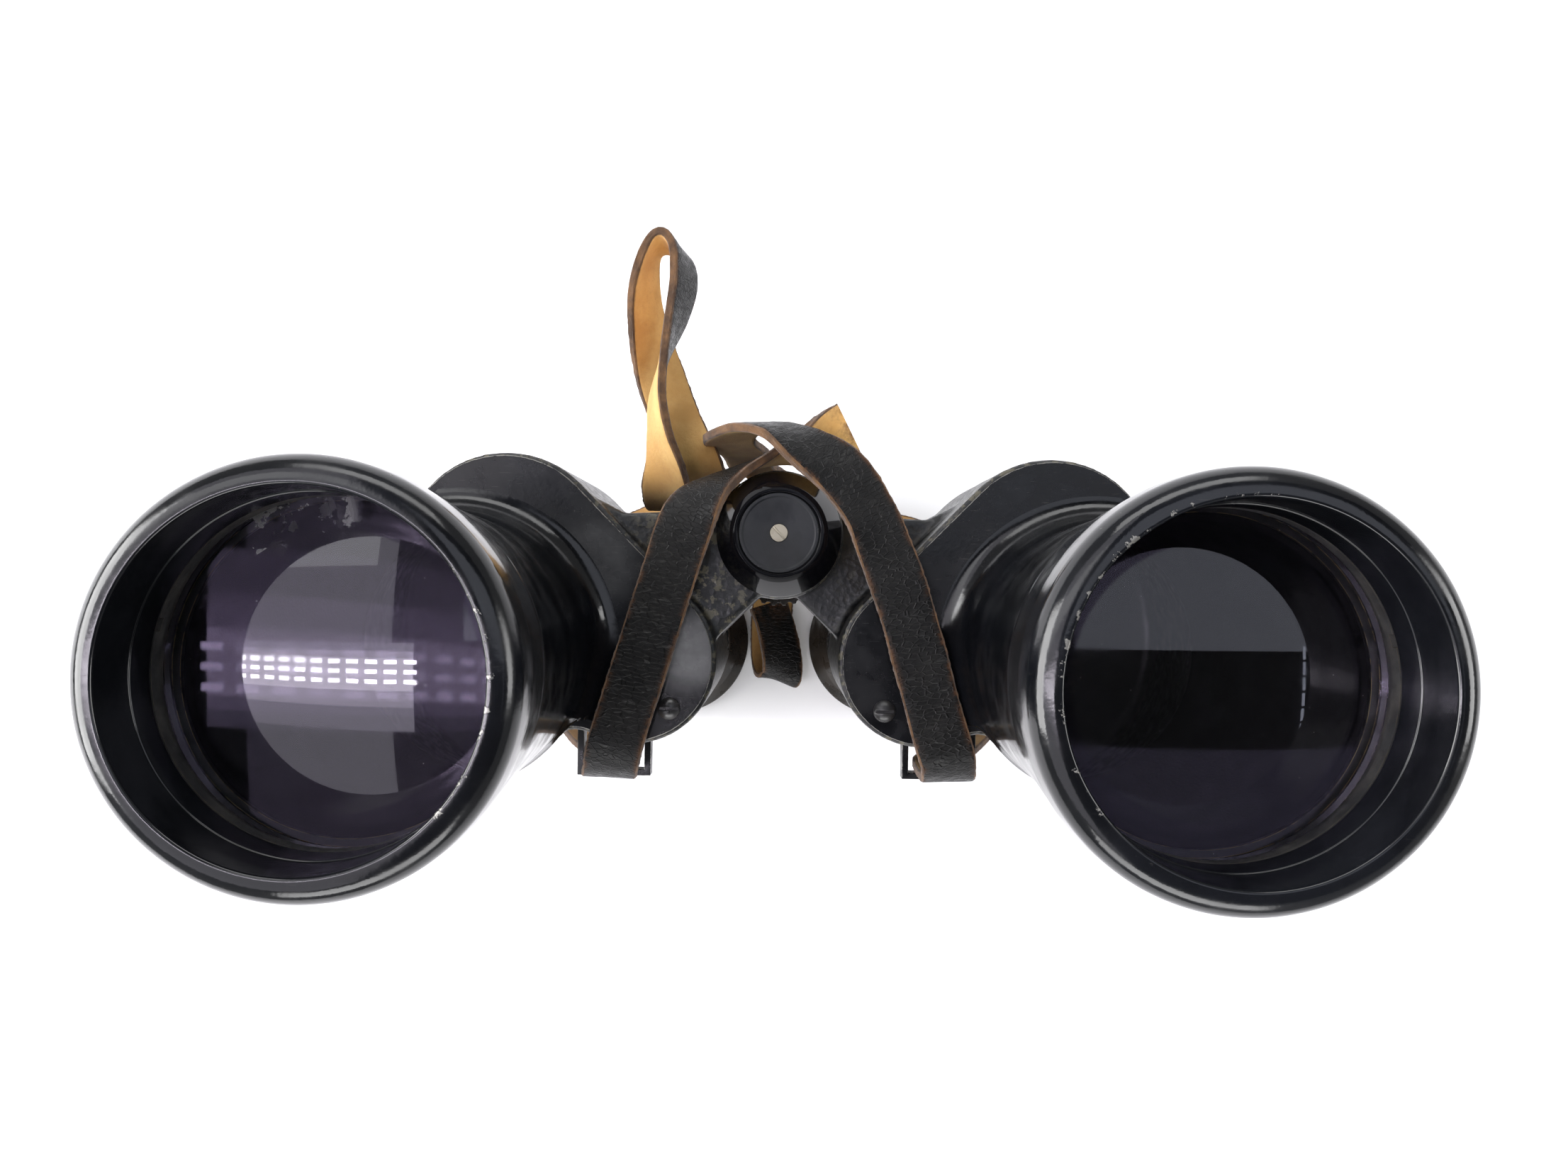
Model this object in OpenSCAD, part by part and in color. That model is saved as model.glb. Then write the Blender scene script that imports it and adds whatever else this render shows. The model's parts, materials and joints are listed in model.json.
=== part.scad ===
/* [Object] */
// Height of the binoculars standing on their eyecups, to the objective rims
total_h = 178; // [174:1:182]
// Distance between the two objective axes
objective_spread = 126.4; // [126:0.2:127]
// Distance between the two eyepiece axes as stored
eye_spread = 58; // [57.6:0.2:58.4]

/* [Objectives] */
// Outer radius of the hood at its rim
rim_r = 30; // [29.6:0.1:30.6]
// Radius of the clear glass
clear_r = 25.3; // [25:0.1:25.4]
// Length of the hood ring
hood_len = 21.4; // [20:0.2:23]
// Depth of the glass behind the rim
glass_depth = 15.5; // [15:0.1:16]

/* [Prism housings] */
// Height of the rear face of the rear covers
rear_z = 44; // [43.5:0.1:44.3]
// Height of the front face of the front covers
front_z = 98; // [97.8:0.1:98.5]
// Thickness of the cover plates
cover_t = 1.8; // [1.6:0.1:1.9]
// Wall thickness of the castings
wall = 2; // [1.6:0.1:2.1]
// Side of the square that each prism face passes light through
prism_w = 24.2; // [23.8:0.1:24.2]

/* [Hinge] */
// Radius of the hinge knuckles
knuckle_r = 13; // [12.6:0.1:13.2]
// Height of one knuckle
knuckle_h = 10; // [9:0.1:10]
// Radius of the hinge axle
axle_r = 6; // [5.8:0.1:6.4]
// Radial running clearance of shafts and sleeves
running_gap = 0.05; // [0.03:0.01:0.08]
// Radius of the conical hinge cap at its base
cap_r = 12.5; // [12:0.1:12.8]

/* [Focusing] */
// Radius of the focus wheel
wheel_r = 15; // [14:0.1:15]
// Height of the focus wheel
wheel_h = 10.5; // [9:0.1:10.5]
// Ridges round the focus wheel
wheel_ridges = 36; // [24:1:40]
// How far the eyepieces run in from their lowest place
focus_travel = 6; // [4:0.5:6]

/* [Eyepieces] */
// Radius of the eyecups at the eye
eyecup_r = 20.5; // [19:0.1:20.8]
// Height of the eyecups
eyecup_h = 8; // [7:0.1:8.4]

/* [Strap] */
// Width of the leather strap
strap_w = 11; // [9:0.5:11]
// Thickness of the leather strap
strap_t = 2; // [1.4:0.1:2]

/* [Hidden] */
$fn = 96;
// The hinge axis runs along Z at x = 0, y = hinge_y
hinge_y = 19;
// The axes of one side, measured from the hinge axis for the right half
O = [objective_spread / 2, -23.7];
E = [eye_spread / 2, -25.3];
// Centre of the upper lobe of the prism housing
T = [54.4, -5.1];
lobe_r = 20;
eye_lobe_r = 16.1;
shoulder_r = 24.5;
valley_r = 8;
housing_lip = 0.8;
// Radial gap between parts that are fixed to each other
fit = 0.02;
// Gap between faces that slide over each other
face_gap = 0.3;

// Heights
housing_z0 = rear_z + cover_t;
housing_z1 = front_z - cover_t;
shelf_t = 2;
shelf_z = (housing_z0 + housing_z1) / 2 - shelf_t / 2;
left_front_z = housing_z1 - 2 - knuckle_h;
right_front_z = left_front_z - face_gap - knuckle_h;
right_rear_z = housing_z0 + 0.1;
left_rear_z = right_rear_z + knuckle_h + face_gap;
barrel_front_z = total_h - glass_depth - 1;
hood_z = total_h - hood_len;
glass_z = total_h - glass_depth;
cell_z = barrel_front_z - 9.1;
lens_seat_z = cell_z + 1.6;
cap_z = left_front_z + knuckle_h + 0.2;
cap_h = 8.4;
wheel_z = 30.2;
nut_z = 42.6;
arm_z = 12.5;
arm_t = 4.5;
sleeve_z = 28;
rod_z = 9.5;
rod_len = 70;
ocular_z = 3;
ocular_len = 35;
carrier_len = 33.5;

// Radii that nest inside each other
shank_r = 1.15;
screw_bore_r = 1.2;
hood_bore_r = 27.4;
neck_r = hood_bore_r - fit;
tenon_r = 20.8;
cell_r = 26.4;
lens_r = 25.9;
rod_r = axle_r - 1.4;
axle_bore_r = rod_r + running_gap;
sleeve_r = 14;
sleeve_bore_r = 12.5;
carrier_r = sleeve_bore_r - running_gap;
carrier_bore_r = 11.05;
ocular_r = carrier_bore_r - running_gap;
ocular_bore_r = 9.9;
eye_glass_r = ocular_bore_r - fit;

// The corner of the light path, where one prism hands over to the other
light_step = E - O;
C = O + (light_step + [-light_step[1], light_step[0]] * -1) / 2;
apex_cut = 1;

// Points of an arc about c from angle a0 to angle a1, in steps of about 6 degrees
function arc(c, r, a0, a1) =
  let (n = ceil(abs(a1 - a0) / 6))
  [for (i = [0:n]) c + r * [cos(a0 + (a1 - a0) * i / n), sin(a0 + (a1 - a0) * i / n)]];

// Direction angle from point p to point q
function heading(p, q) = atan2(q[1] - p[1], q[0] - p[0]);

// Angle of the normal of the outer tangent that lies left of the way from circle p to circle q
function tangent_left(p, rp, q, rq) = heading(p, q) + acos((rp - rq) / norm(q - p));

// The point at distance ra from a and rb from b, to the right of the way from a to b
function meeting(a, ra, b, rb) =
  let (
    d = norm(b - a),
    u = (b - a) / d,
    s = (ra * ra - rb * rb + d * d) / (2 * d),
    h = sqrt(ra * ra - s * s)
  )
  a + s * u + h * [u[1], -u[0]];

// Outline of the right prism housing about the hinge axis, grown by g
function outline(g) =
  let (
    rt = lobe_r + g,
    re = eye_lobe_r + g,
    ro = shoulder_r + g,
    rv = valley_r - g,
    F = meeting(E, re + rv, O, ro + rv),
    edge = tangent_left(E, re, T, rt),
    side = tangent_left(T, rt, O, ro)
  )
  concat(
    arc(E, re, edge, heading(E, F) + 360),
    arc(F, rv, heading(F, E), heading(F, O)),
    arc(O, ro, heading(O, F), side),
    arc(T, rt, side, edge)
  );

// Outline with round ends about p and q
function slot_outline(p, q, r) =
  let (a = heading(p, q))
  concat(arc(q, r, a - 90, a + 90), arc(p, r, a + 90, a + 270));

// Places a right-hand piece, or its mirror image for the left half
module side(s) {
  translate([0, hinge_y, 0])
    if (s > 0) children();
    else mirror([1, 0, 0]) children();
}

module at(p, z = 0) {
  translate([p[0], p[1], z]) children();
}

module ring(r, bore, h) {
  difference() {
    cylinder(r = r, h = h);
    translate([0, 0, -1]) cylinder(r = bore, h = h + 2);
  }
}

// Flat web between the hinge knuckle and the housing wall
module web(z, h) {
  translate([0, 0, z]) linear_extrude(h)
    polygon([[0, 12.4], [9, 9.3], [19, 4.6], [31, 4], [40.5, 9], [44, -8], [24, -32], [19, -27],
      [13.2, -21.8], [4, -12.6], [0, -12.4]]);
}

// Casting of one half: wall, shelf between the prisms, and two hinge arms
module housing(front_knuckle_z, rear_knuckle_z, bore_r) {
  difference() {
    union() {
      translate([0, 0, housing_z0]) linear_extrude(housing_z1 - housing_z0)
        polygon(outline(housing_lip));
      for (z = [front_knuckle_z, rear_knuckle_z]) {
        translate([0, 0, z]) cylinder(r = knuckle_r, h = knuckle_h);
        web(z, knuckle_h);
      }
    }
    translate([0, 0, housing_z0 - 1]) linear_extrude(shelf_z - housing_z0 + 1)
      polygon(outline(housing_lip - wall));
    translate([0, 0, shelf_z + shelf_t]) linear_extrude(housing_z1 - shelf_z)
      polygon(outline(housing_lip - wall));
    for (p = [O, C, E]) at(p, shelf_z - 1) cylinder(r = 11, h = shelf_t + 2);
    translate([0, 0, housing_z0 - 1]) cylinder(r = bore_r, h = front_z);
    for (p = front_screws()) at(p, housing_z1 - 6) cylinder(r = screw_bore_r, h = 7);
    for (p = rear_screws()) at(p, housing_z0 - 1) cylinder(r = screw_bore_r, h = 7);
  }
}

function front_screws() = [[21.3, -34.8]];
function rear_screws() = [[29, -5.7], [47, 11.6], [84.5, -29]];

module left_prism_housing() {
  color([0.09, 0.09, 0.1]) side(-1) housing(left_front_z, left_rear_z, axle_r + fit);
}

module right_prism_housing() {
  color([0.09, 0.09, 0.1]) side(1) housing(right_front_z, right_rear_z, axle_r + running_gap);
}

module front_cover(s) {
  color([0.12, 0.12, 0.14]) side(s) difference() {
    translate([0, 0, housing_z1]) linear_extrude(cover_t) polygon(outline(0));
    at(O, housing_z1 - 1) cylinder(r = tenon_r + fit, h = cover_t + 2);
    for (p = front_screws()) at(p, housing_z1 - 1) cylinder(r = screw_bore_r, h = cover_t + 2);
  }
}

module rear_cover(s) {
  color([0.12, 0.12, 0.14]) side(s) difference() {
    translate([0, 0, rear_z]) linear_extrude(cover_t) polygon(outline(0));
    at(E, rear_z - 1) cylinder(r = sleeve_r + fit, h = cover_t + 2);
    for (p = rear_screws()) at(p, rear_z - 1) cylinder(r = screw_bore_r, h = cover_t + 2);
  }
}

// Domed slotted screw standing on its seat, with its shank below
module dome_screw(len) {
  head_r = 2.2;
  head_h = 1.4;
  slot_w = 0.6;
  difference() {
    union() {
      translate([0, 0, -len]) cylinder(r = shank_r, h = len);
      intersection() {
        cylinder(r = head_r, h = head_h);
        translate([0, 0, -head_h]) sphere(r = 2 * head_h);
      }
    }
    translate([-head_r - 1, -slot_w / 2, head_h / 2]) cube([2 * head_r + 2, slot_w, head_h]);
  }
}

module cover_screws(s) {
  color([0.2, 0.2, 0.2]) side(s) {
    for (p = front_screws()) at(p, front_z) dome_screw(5);
    for (p = rear_screws()) at(p, rear_z) mirror([0, 0, 1]) dome_screw(5);
  }
}

// Half-square prism between the light axes p and q, apex up
module porro_prism(p, q) {
  half = norm(q - p);
  middle = (p + q) / 2;
  intersection() {
    linear_extrude(half - apex_cut) polygon(slot_outline(p, q, prism_w / 2));
    translate([middle[0], middle[1], 0]) rotate([90, 0, heading(p, q)]) linear_extrude(60, center = true)
      polygon([[-half, 0], [half, 0], [0, half]]);
  }
}

module front_prism(s) {
  color([0.7, 0.78, 0.8]) side(s) translate([0, 0, shelf_z + shelf_t]) porro_prism(C, E);
}

module rear_prism(s) {
  color([0.7, 0.78, 0.8]) side(s) translate([0, 0, shelf_z]) mirror([0, 0, 1]) porro_prism(O, C);
}

// Bent spring strap over the apex of a prism, standing on the shelf
module prism_clip(p, q) {
  middle = (p + q) / 2;
  top = norm(q - p) - apex_cut + 0.05;
  reach = prism_w / 2 + 0.2;
  translate([middle[0], middle[1], 0]) rotate([0, 0, heading(p, q)]) difference() {
    translate([-3, -reach - 0.5, 0]) cube([6, 2 * reach + 1, top + 0.5]);
    translate([-4, -reach, -1]) cube([8, 2 * reach, top + 1]);
  }
}

module prism_clips(s) {
  color([0.75, 0.7, 0.55]) side(s) {
    translate([0, 0, shelf_z + shelf_t]) prism_clip(C, E);
    translate([0, 0, shelf_z]) mirror([0, 0, 1]) prism_clip(O, C);
  }
}

// Objective tube: a trumpet foot on the front cover, a taper, and a neck inside the hood
module barrel(s) {
  foot_r = 30;
  waist_r = 26.3;
  flare_w = 5.4;
  flare_h = 7.2;
  root_bore_r = 19;
  shoulder_z = hood_z - 6;
  color([0.05, 0.05, 0.06]) side(s) {
    intersection() {
      at(O) rotate_extrude() polygon(concat(
        [[root_bore_r, front_z], [foot_r, front_z]],
        [for (a = [80:-10:0]) [waist_r + flare_w * (1 - cos(a)), front_z + flare_h * (1 - sin(a))]],
        [[waist_r + 0.3, front_z + 20], [neck_r + 0.42, shoulder_z], [neck_r, shoulder_z],
          [neck_r, barrel_front_z], [cell_r + fit, barrel_front_z], [cell_r + fit, cell_z - 0.4],
          [root_bore_r, front_z + 6]]
      ));
      translate([0, 0, front_z - 1]) union() {
        linear_extrude(9) polygon(outline(0));
        at(O, 7) cylinder(r = 40, h = 80);
      }
    }
    at(O, housing_z1 + 0.1) ring(tenon_r, root_bore_r, front_z - housing_z1 - 0.1);
  }
}

// Hood ring: rounded rim, a funnel that narrows towards the glass, and a bore for the neck
module hood(s) {
  lip_r = 2.4;
  band_h = 8;
  shoulder_h = 13;
  funnel_z = barrel_front_z + 2.7;
  color([0.05, 0.05, 0.06]) side(s) at(O) rotate_extrude() polygon(concat(
    [[hood_bore_r, hood_z], [rim_r - 1.1, hood_z], [rim_r - 0.9, total_h - shoulder_h],
      [rim_r, total_h - band_h]],
    arc([rim_r - lip_r, total_h - lip_r], lip_r, 0, 90),
    [[rim_r - 3.2, total_h - 1], [rim_r - 3.8, total_h - 4.5], [clear_r + 0.4, total_h - band_h - 0.5],
      [clear_r, funnel_z], [hood_bore_r, funnel_z]]
  ));
}

module lens_cell(s) {
  seat_r = 24.6;
  color([0.15, 0.15, 0.15]) side(s) at(O) rotate_extrude()
    polygon([[seat_r, cell_z], [cell_r, cell_z], [cell_r, barrel_front_z], [lens_r + fit, barrel_front_z],
      [lens_r + fit, lens_seat_z], [seat_r, lens_seat_z]]);
}

// Cemented pair: convex front, gently curved back
module objective_lens(s) {
  front_rise = 2.6;
  back_rise = 1.2;
  edge_z = glass_z - front_rise - 0.4;
  function rise(x, h) = h * (1 - x * x / (lens_r * lens_r));
  color([0.45, 0.4, 0.55, 0.5]) side(s) at(O) rotate_extrude() polygon(concat(
    [for (i = [0:12]) [lens_r * i / 12, lens_seat_z + fit + back_rise - rise(lens_r * i / 12, back_rise)]],
    [for (i = [12:-1:0]) [lens_r * i / 12, edge_z + rise(lens_r * i / 12, front_rise)]]
  ));
}

module retaining_ring(s) {
  color([0.1, 0.1, 0.09]) side(s) at(O, barrel_front_z + fit) difference() {
    ring(hood_bore_r - fit, clear_r, 2.4);
    for (a = [15, 195]) rotate([0, 0, a]) translate([clear_r - 1, -1, 1.2]) cube([2.2, 2, 3]);
  }
}

// Cast loop on the lower wall of the housing that the strap is threaded through
module strap_lug(s) {
  lug_x = 35.4;
  lug_z = 70;
  lug_h = 4;
  half_w = 6.6;
  bar_y = -52;
  bar_t = 1.4;
  color([0.1, 0.1, 0.1]) side(s) difference() {
    translate([lug_x - half_w - bar_t, bar_y, lug_z]) cube([2 * (half_w + bar_t), 15, lug_h]);
    translate([lug_x - half_w, bar_y + bar_t, lug_z - 1]) cube([2 * half_w, 16, lug_h + 2]);
    translate([0, 0, lug_z - 1]) linear_extrude(lug_h + 2) polygon(outline(housing_lip + fit));
  }
}

module eyepiece_sleeve(s) {
  color([0.1, 0.1, 0.1]) side(s) at(E) {
    at([0, 0], sleeve_z) ring(sleeve_r, sleeve_bore_r, housing_z0 + 2 - sleeve_z);
    at([0, 0], rear_z - 2 - fit) ring(15.6, sleeve_r - 0.5, 2);
  }
}

module carrier_tube(s) {
  color([0.55, 0.5, 0.35]) side(s) at(E, arm_z) ring(carrier_r, carrier_bore_r, carrier_len);
}

module ocular_tube(s) {
  color([0.4, 0.38, 0.3]) side(s) at(E, ocular_z) ring(ocular_r, ocular_bore_r, ocular_len);
}

// Lens bulging to both sides of a short cylinder
module small_lens(r, h, bulge) {
  steps = 8;
  function rise(i) = bulge * (1 - (i / steps) * (i / steps));
  rotate_extrude() polygon(concat(
    [for (i = [0:steps]) [r * i / steps, -rise(i)]],
    [for (i = [steps:-1:0]) [r * i / steps, h + rise(i)]]
  ));
}

module eye_lens(s) {
  color([0.7, 0.78, 0.82, 0.5]) side(s) at(E, 5.5) small_lens(eye_glass_r, 3, 0.9);
}

module field_lens(s) {
  color([0.7, 0.78, 0.82, 0.5]) side(s) at(E, 30) small_lens(eye_glass_r, 2.4, 1.2);
}

module field_stop(s) {
  color([0.1, 0.1, 0.1]) side(s) at(E, 20) ring(eye_glass_r, 7.5, 1.5);
}

// Bakelite eyecup: flat rim at the eye, dished face, waist round the ocular tube
module eyecup(s) {
  hole_r = 9;
  lip_r = 1.6;
  seat_z = ocular_z - 0.1;
  color([0.06, 0.06, 0.06]) side(s) at(E) rotate_extrude() polygon(concat(
    [[ocular_r + fit, eyecup_h], [ocular_r + fit, seat_z], [hole_r, seat_z], [hole_r, seat_z - 0.5]],
    [[eyecup_r - 5, 1.4], [eyecup_r - 3, 0]],
    arc([eyecup_r - lip_r, lip_r], lip_r, -90, 20),
    [[eyecup_r - 2.5, 4.6], [eyecup_r - 5.5, eyecup_h]]
  ));
}

// Grooves round a ring of radius r
module ridges(r, count, depth, h) {
  for (i = [0:count - 1]) rotate([0, 0, i * 360 / count])
    translate([r + 0.9 - depth, 0, -1]) cylinder(r = 0.9, h = h + 2, $fn = 24);
}

module left_collar() {
  color([0.08, 0.08, 0.08]) side(-1) at(E, 10) ring(14.4, ocular_r + fit, 2.2);
}

module diopter_ring() {
  color([0.08, 0.08, 0.08]) side(1) at(E, 9.6) difference() {
    ring(15.4, ocular_r + running_gap, 2.6);
    ridges(15.4, 30, 0.5, 2.6);
  }
}

// Arm from the focus rod to one eyepiece, with a deep ring round its carrier tube
module bridge_arm(z, hub_bore_r) {
  hub_r = 8;
  arm_ring_r = 16;
  half_w = 5.5;
  reach = norm(E) - arm_ring_r + 2;
  translate([0, 0, z]) linear_extrude(arm_t) difference() {
    union() {
      circle(r = hub_r);
      rotate(heading([0, 0], E))
        polygon([[5, -half_w], [reach, -half_w - 2], [reach, half_w + 2], [5, half_w]]);
      translate(E) circle(r = arm_ring_r);
    }
    circle(r = hub_bore_r);
    translate(E) circle(r = carrier_r + fit);
  }
  at(E, z > arm_z ? arm_z : arm_z + arm_t) ring(arm_ring_r, carrier_r + fit, arm_t + face_gap);
}

module left_bridge_arm() {
  color([0.1, 0.1, 0.11]) side(-1) bridge_arm(arm_z + arm_t + face_gap, rod_r + fit);
}

module right_bridge_arm() {
  color([0.1, 0.1, 0.11]) side(1) bridge_arm(arm_z, rod_r + running_gap);
}

module focus_rod() {
  color([0.7, 0.62, 0.35]) side(1) translate([0, 0, rod_z]) cylinder(r = rod_r, h = rod_len);
}

module rod_end_screw() {
  head_r = 5.4;
  head_h = 1.6;
  dome_r = 9.8;
  slot_w = 1;
  color([0.6, 0.58, 0.5]) side(1) translate([0, 0, rod_z - fit]) mirror([0, 0, 1]) difference() {
    intersection() {
      cylinder(r = head_r, h = head_h);
      translate([0, 0, 1.8 - dome_r]) sphere(r = dome_r);
    }
    translate([-head_r - 1, -slot_w / 2, head_h - 0.7]) cube([2 * head_r + 2, slot_w, 2]);
  }
}

module focus_wheel() {
  boss_r = 7.5;
  boss_h = nut_z - wheel_z - 1.1;
  recess_r = 12;
  recess_h = 2;
  ridge_depth = 0.7;
  color([0.08, 0.08, 0.08]) side(1) translate([0, 0, wheel_z]) difference() {
    union() {
      cylinder(r = wheel_r, h = wheel_h);
      cylinder(r = boss_r, h = boss_h);
    }
    translate([0, 0, -1]) cylinder(r = rod_r + running_gap, h = boss_h + 2);
    ridges(wheel_r, wheel_ridges, ridge_depth, wheel_h);
    translate([0, 0, -1]) ring(recess_r, boss_r + 1, recess_h + 1);
  }
}

module wheel_washer() {
  color([0.6, 0.6, 0.6]) side(1) translate([0, 0, nut_z - 0.8]) ring(7.4, rod_r + 0.3, 0.6);
}

module hinge_axle() {
  color([0.5, 0.5, 0.5]) side(1) translate([0, 0, nut_z + 0.6])
    ring(axle_r, axle_bore_r + running_gap, cap_z - nut_z - 0.8);
}

// Round nut that closes the rear end of the hinge
module hinge_nut() {
  nut_r = 9.5;
  color([0.1, 0.1, 0.1]) side(1) translate([0, 0, nut_z]) {
    ring(nut_r, axle_r + fit, right_rear_z - nut_z - 0.2);
    ring(nut_r, rod_r + 0.3, 0.5);
  }
}

// Glossy cone that closes the front end of the hinge, with a shallow seat for the disc
module hinge_cap() {
  color([0.03, 0.03, 0.03]) side(1) translate([0, 0, cap_z]) difference() {
    rotate_extrude() polygon(concat(
      [[0, 0], [cap_r, 0], [cap_r, 1.2], [9.6, cap_h - 1]],
      arc([8.7, cap_h - 0.9], 0.9, 0, 90),
      [[8, cap_h], [8, cap_h - 1.2], [0, cap_h - 1.2]]
    ));
    translate([0, 0, 2]) cylinder(r = screw_bore_r, h = cap_h);
  }
}

module hinge_cap_disc() {
  color([0.12, 0.12, 0.12]) side(1) translate([0, 0, cap_z + cap_h - 1.2 + fit]) difference() {
    cylinder(r = 7.8, h = 0.9);
    translate([0, 0, -1]) cylinder(r = screw_bore_r, h = 3);
    translate([0, 0, 0.5]) cylinder(r = 1.75, h = 3);
  }
}

module hinge_cap_screw() {
  color([0.7, 0.65, 0.5]) side(1) translate([0, 0, cap_z + cap_h - 0.68]) rotate([0, 0, -45]) difference() {
    union() {
      cylinder(r = 1.7, h = 0.5);
      translate([0, 0, -4]) cylinder(r = shank_r, h = 4.2);
    }
    translate([-2, -0.2, 0.2]) cube([4, 0.4, 1]);
  }
}

// The strap's way, measured from the hinge axis: each row holds a point and the direction of its width.
// It starts at the cut end above the hinge and ends under the hinge.
// Cut end, over the hinge cap, and down the left cover to the lug
tail_route = [
  [[14, 22.5, 87.6], [-0.6, 0.8, 0]],
  [[8.5, 19.8, 88], [-0.5, 0.65, 0.55]],
  [[3, 17.7, 89.6], [-0.2, 0.3, 0.93]],
  [[-2.5, 15.7, 90.5], [0, 0, 1]],
  [[-9, 12.5, 93.5], [0.2, -0.15, 0.97]],
  [[-13.5, 9.3, 97], [0.5, -0.25, 0.8]],
  [[-16, 6.3, 99.4], [0.8, -0.3, 0.45]],
  [[-18.5, 1, 100.4], [0.96, -0.28, 0.1]],
  [[-22, -10, 100.2], [0.96, -0.29, 0]],
  [[-26.5, -25, 100.2], [0.96, -0.29, 0]],
  [[-30.5, -38, 100.2], [0.96, -0.29, 0]],
  [[-32.2, -44, 98.8], [0.97, -0.2, 0]],
  [[-33.2, -47.6, 95], [1, -0.1, 0]],
  [[-34.2, -48.8, 90], [1, 0, 0]],
  [[-35, -49, 82], [1, 0, 0]]
];
// From the left lug down to the table, round the left eyecup and up to the loop
climb_route = [
  [[-35.4, -49, 72], [1, 0, -0.05]],
  [[-37.2, -49.2, 62], [0.97, 0, -0.25]],
  [[-42, -49.2, 48], [0.95, 0, -0.35]],
  [[-48.5, -48, 32], [0.95, -0.1, -0.3]],
  [[-55.5, -42.5, 15], [0.97, -0.15, -0.15]],
  [[-58.8, -33, 4], [0.99, -0.15, 0]],
  [[-59.6, -23, 1.3], [1, -0.05, 0]],
  [[-58.2, -12.5, 1.3], [0.95, -0.3, 0]],
  [[-52.5, -4, 1.3], [0.75, -0.65, 0]],
  [[-44.5, 2.4, 1.3], [0.45, -0.9, 0]],
  [[-36, 6.4, 2.4], [0.3, -0.95, 0]],
  [[-29.5, 8.6, 9], [0.25, -0.97, 0]],
  [[-26.3, 9, 20], [0.35, -0.93, 0]],
  [[-25, 8.6, 34], [0.65, -0.75, 0]],
  [[-24.6, 8.2, 48], [0.9, -0.4, 0]],
  [[-24.5, 7.6, 61], [1, 0, 0]],
  [[-24.5, 7.6, 70], [1, 0, 0.1]],
  [[-24.3, 9.4, 77], [0.95, -0.1, 0.3]]
];
// The loop that stands out behind the hinge, and back down to the table
loop_route = [
  [[-24.2, 14, 81.3], [0.75, -0.1, 0.6]],
  [[-25.4, 21, 83], [0.45, 0, 0.85]],
  [[-26, 29, 83.5], [0.3, 0, 0.95]],
  [[-24.4, 38, 84], [0.08, 0, 1]],
  [[-22, 46, 84.5], [-0.2, 0.05, 0.97]],
  [[-20.6, 53, 85], [-0.35, 0.05, 0.93]],
  [[-21.4, 58.6, 85], [-0.3, 0.15, 0.93]],
  [[-24.6, 61.4, 84.5], [-0.2, 0.2, 0.95]],
  [[-28, 58.8, 83.5], [-0.2, -0.2, 0.95]],
  [[-29.4, 52, 80.5], [-0.4, -0.1, 0.9]],
  [[-28.8, 44, 76.5], [-0.6, -0.1, 0.75]],
  [[-26.4, 35, 73.5], [-0.85, -0.25, 0.4]],
  [[-23, 26, 74.4], [-0.93, -0.3, 0.15]],
  [[-19.6, 18.6, 77], [-0.95, -0.25, 0.1]],
  [[-17.8, 15, 75.4], [-1, -0.1, 0]],
  [[-17.4, 13.8, 69], [-1, 0, 0]],
  [[-17.2, 14, 60], [-1, 0, 0]],
  [[-17, 14, 46], [-0.9, -0.4, 0]],
  [[-16.6, 13.6, 32], [-0.65, -0.75, 0]],
  [[-15.6, 13, 19], [-0.35, -0.93, 0]],
  [[-12.6, 12.4, 8.5], [-0.15, -0.98, 0]],
  [[-6.4, 12.2, 1.9], [0, -1, 0]],
  [[-2, 12, 1.4], [0, -1, 0]]
];
// From the table under the right half up to the right lug and over the right cover
right_route = [
  [[16, 6.4, 1.3], [0.1, -1, 0]],
  [[28, 5.6, 1.3], [-0.1, -0.99, 0]],
  [[40, 3, 1.3], [-0.4, -0.92, 0]],
  [[50.5, -3.5, 1.3], [-0.75, -0.65, 0]],
  [[57.6, -13, 1.3], [-0.95, -0.3, 0]],
  [[59.6, -23, 1.3], [-1, -0.05, 0]],
  [[58.8, -33, 4], [-0.99, -0.15, 0]],
  [[55.5, -42.5, 15], [-0.97, -0.15, -0.15]],
  [[48.5, -48, 32], [-0.95, -0.1, -0.3]],
  [[42, -49.2, 48], [-0.95, 0, -0.35]],
  [[37.2, -49.2, 62], [-0.97, 0, -0.25]],
  [[35.4, -49, 72], [-1, 0, -0.05]],
  [[35, -49, 82], [-1, 0, 0]],
  [[34.8, -48.8, 90], [-1, 0, 0]],
  [[34.5, -47.6, 95], [-1, -0.1, 0]],
  [[33.8, -44, 98.8], [-0.97, -0.25, 0]],
  [[31.8, -38, 100.2], [-0.95, -0.3, 0]],
  [[28.4, -26, 100.2], [-0.95, -0.3, 0]],
  [[24.6, -13, 100.2], [-0.95, -0.3, 0]],
  [[20.6, -2.4, 100.4], [-0.93, -0.38, 0.05]],
  [[17.6, 4.4, 100.6], [-0.85, -0.45, 0.3]]
];
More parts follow.
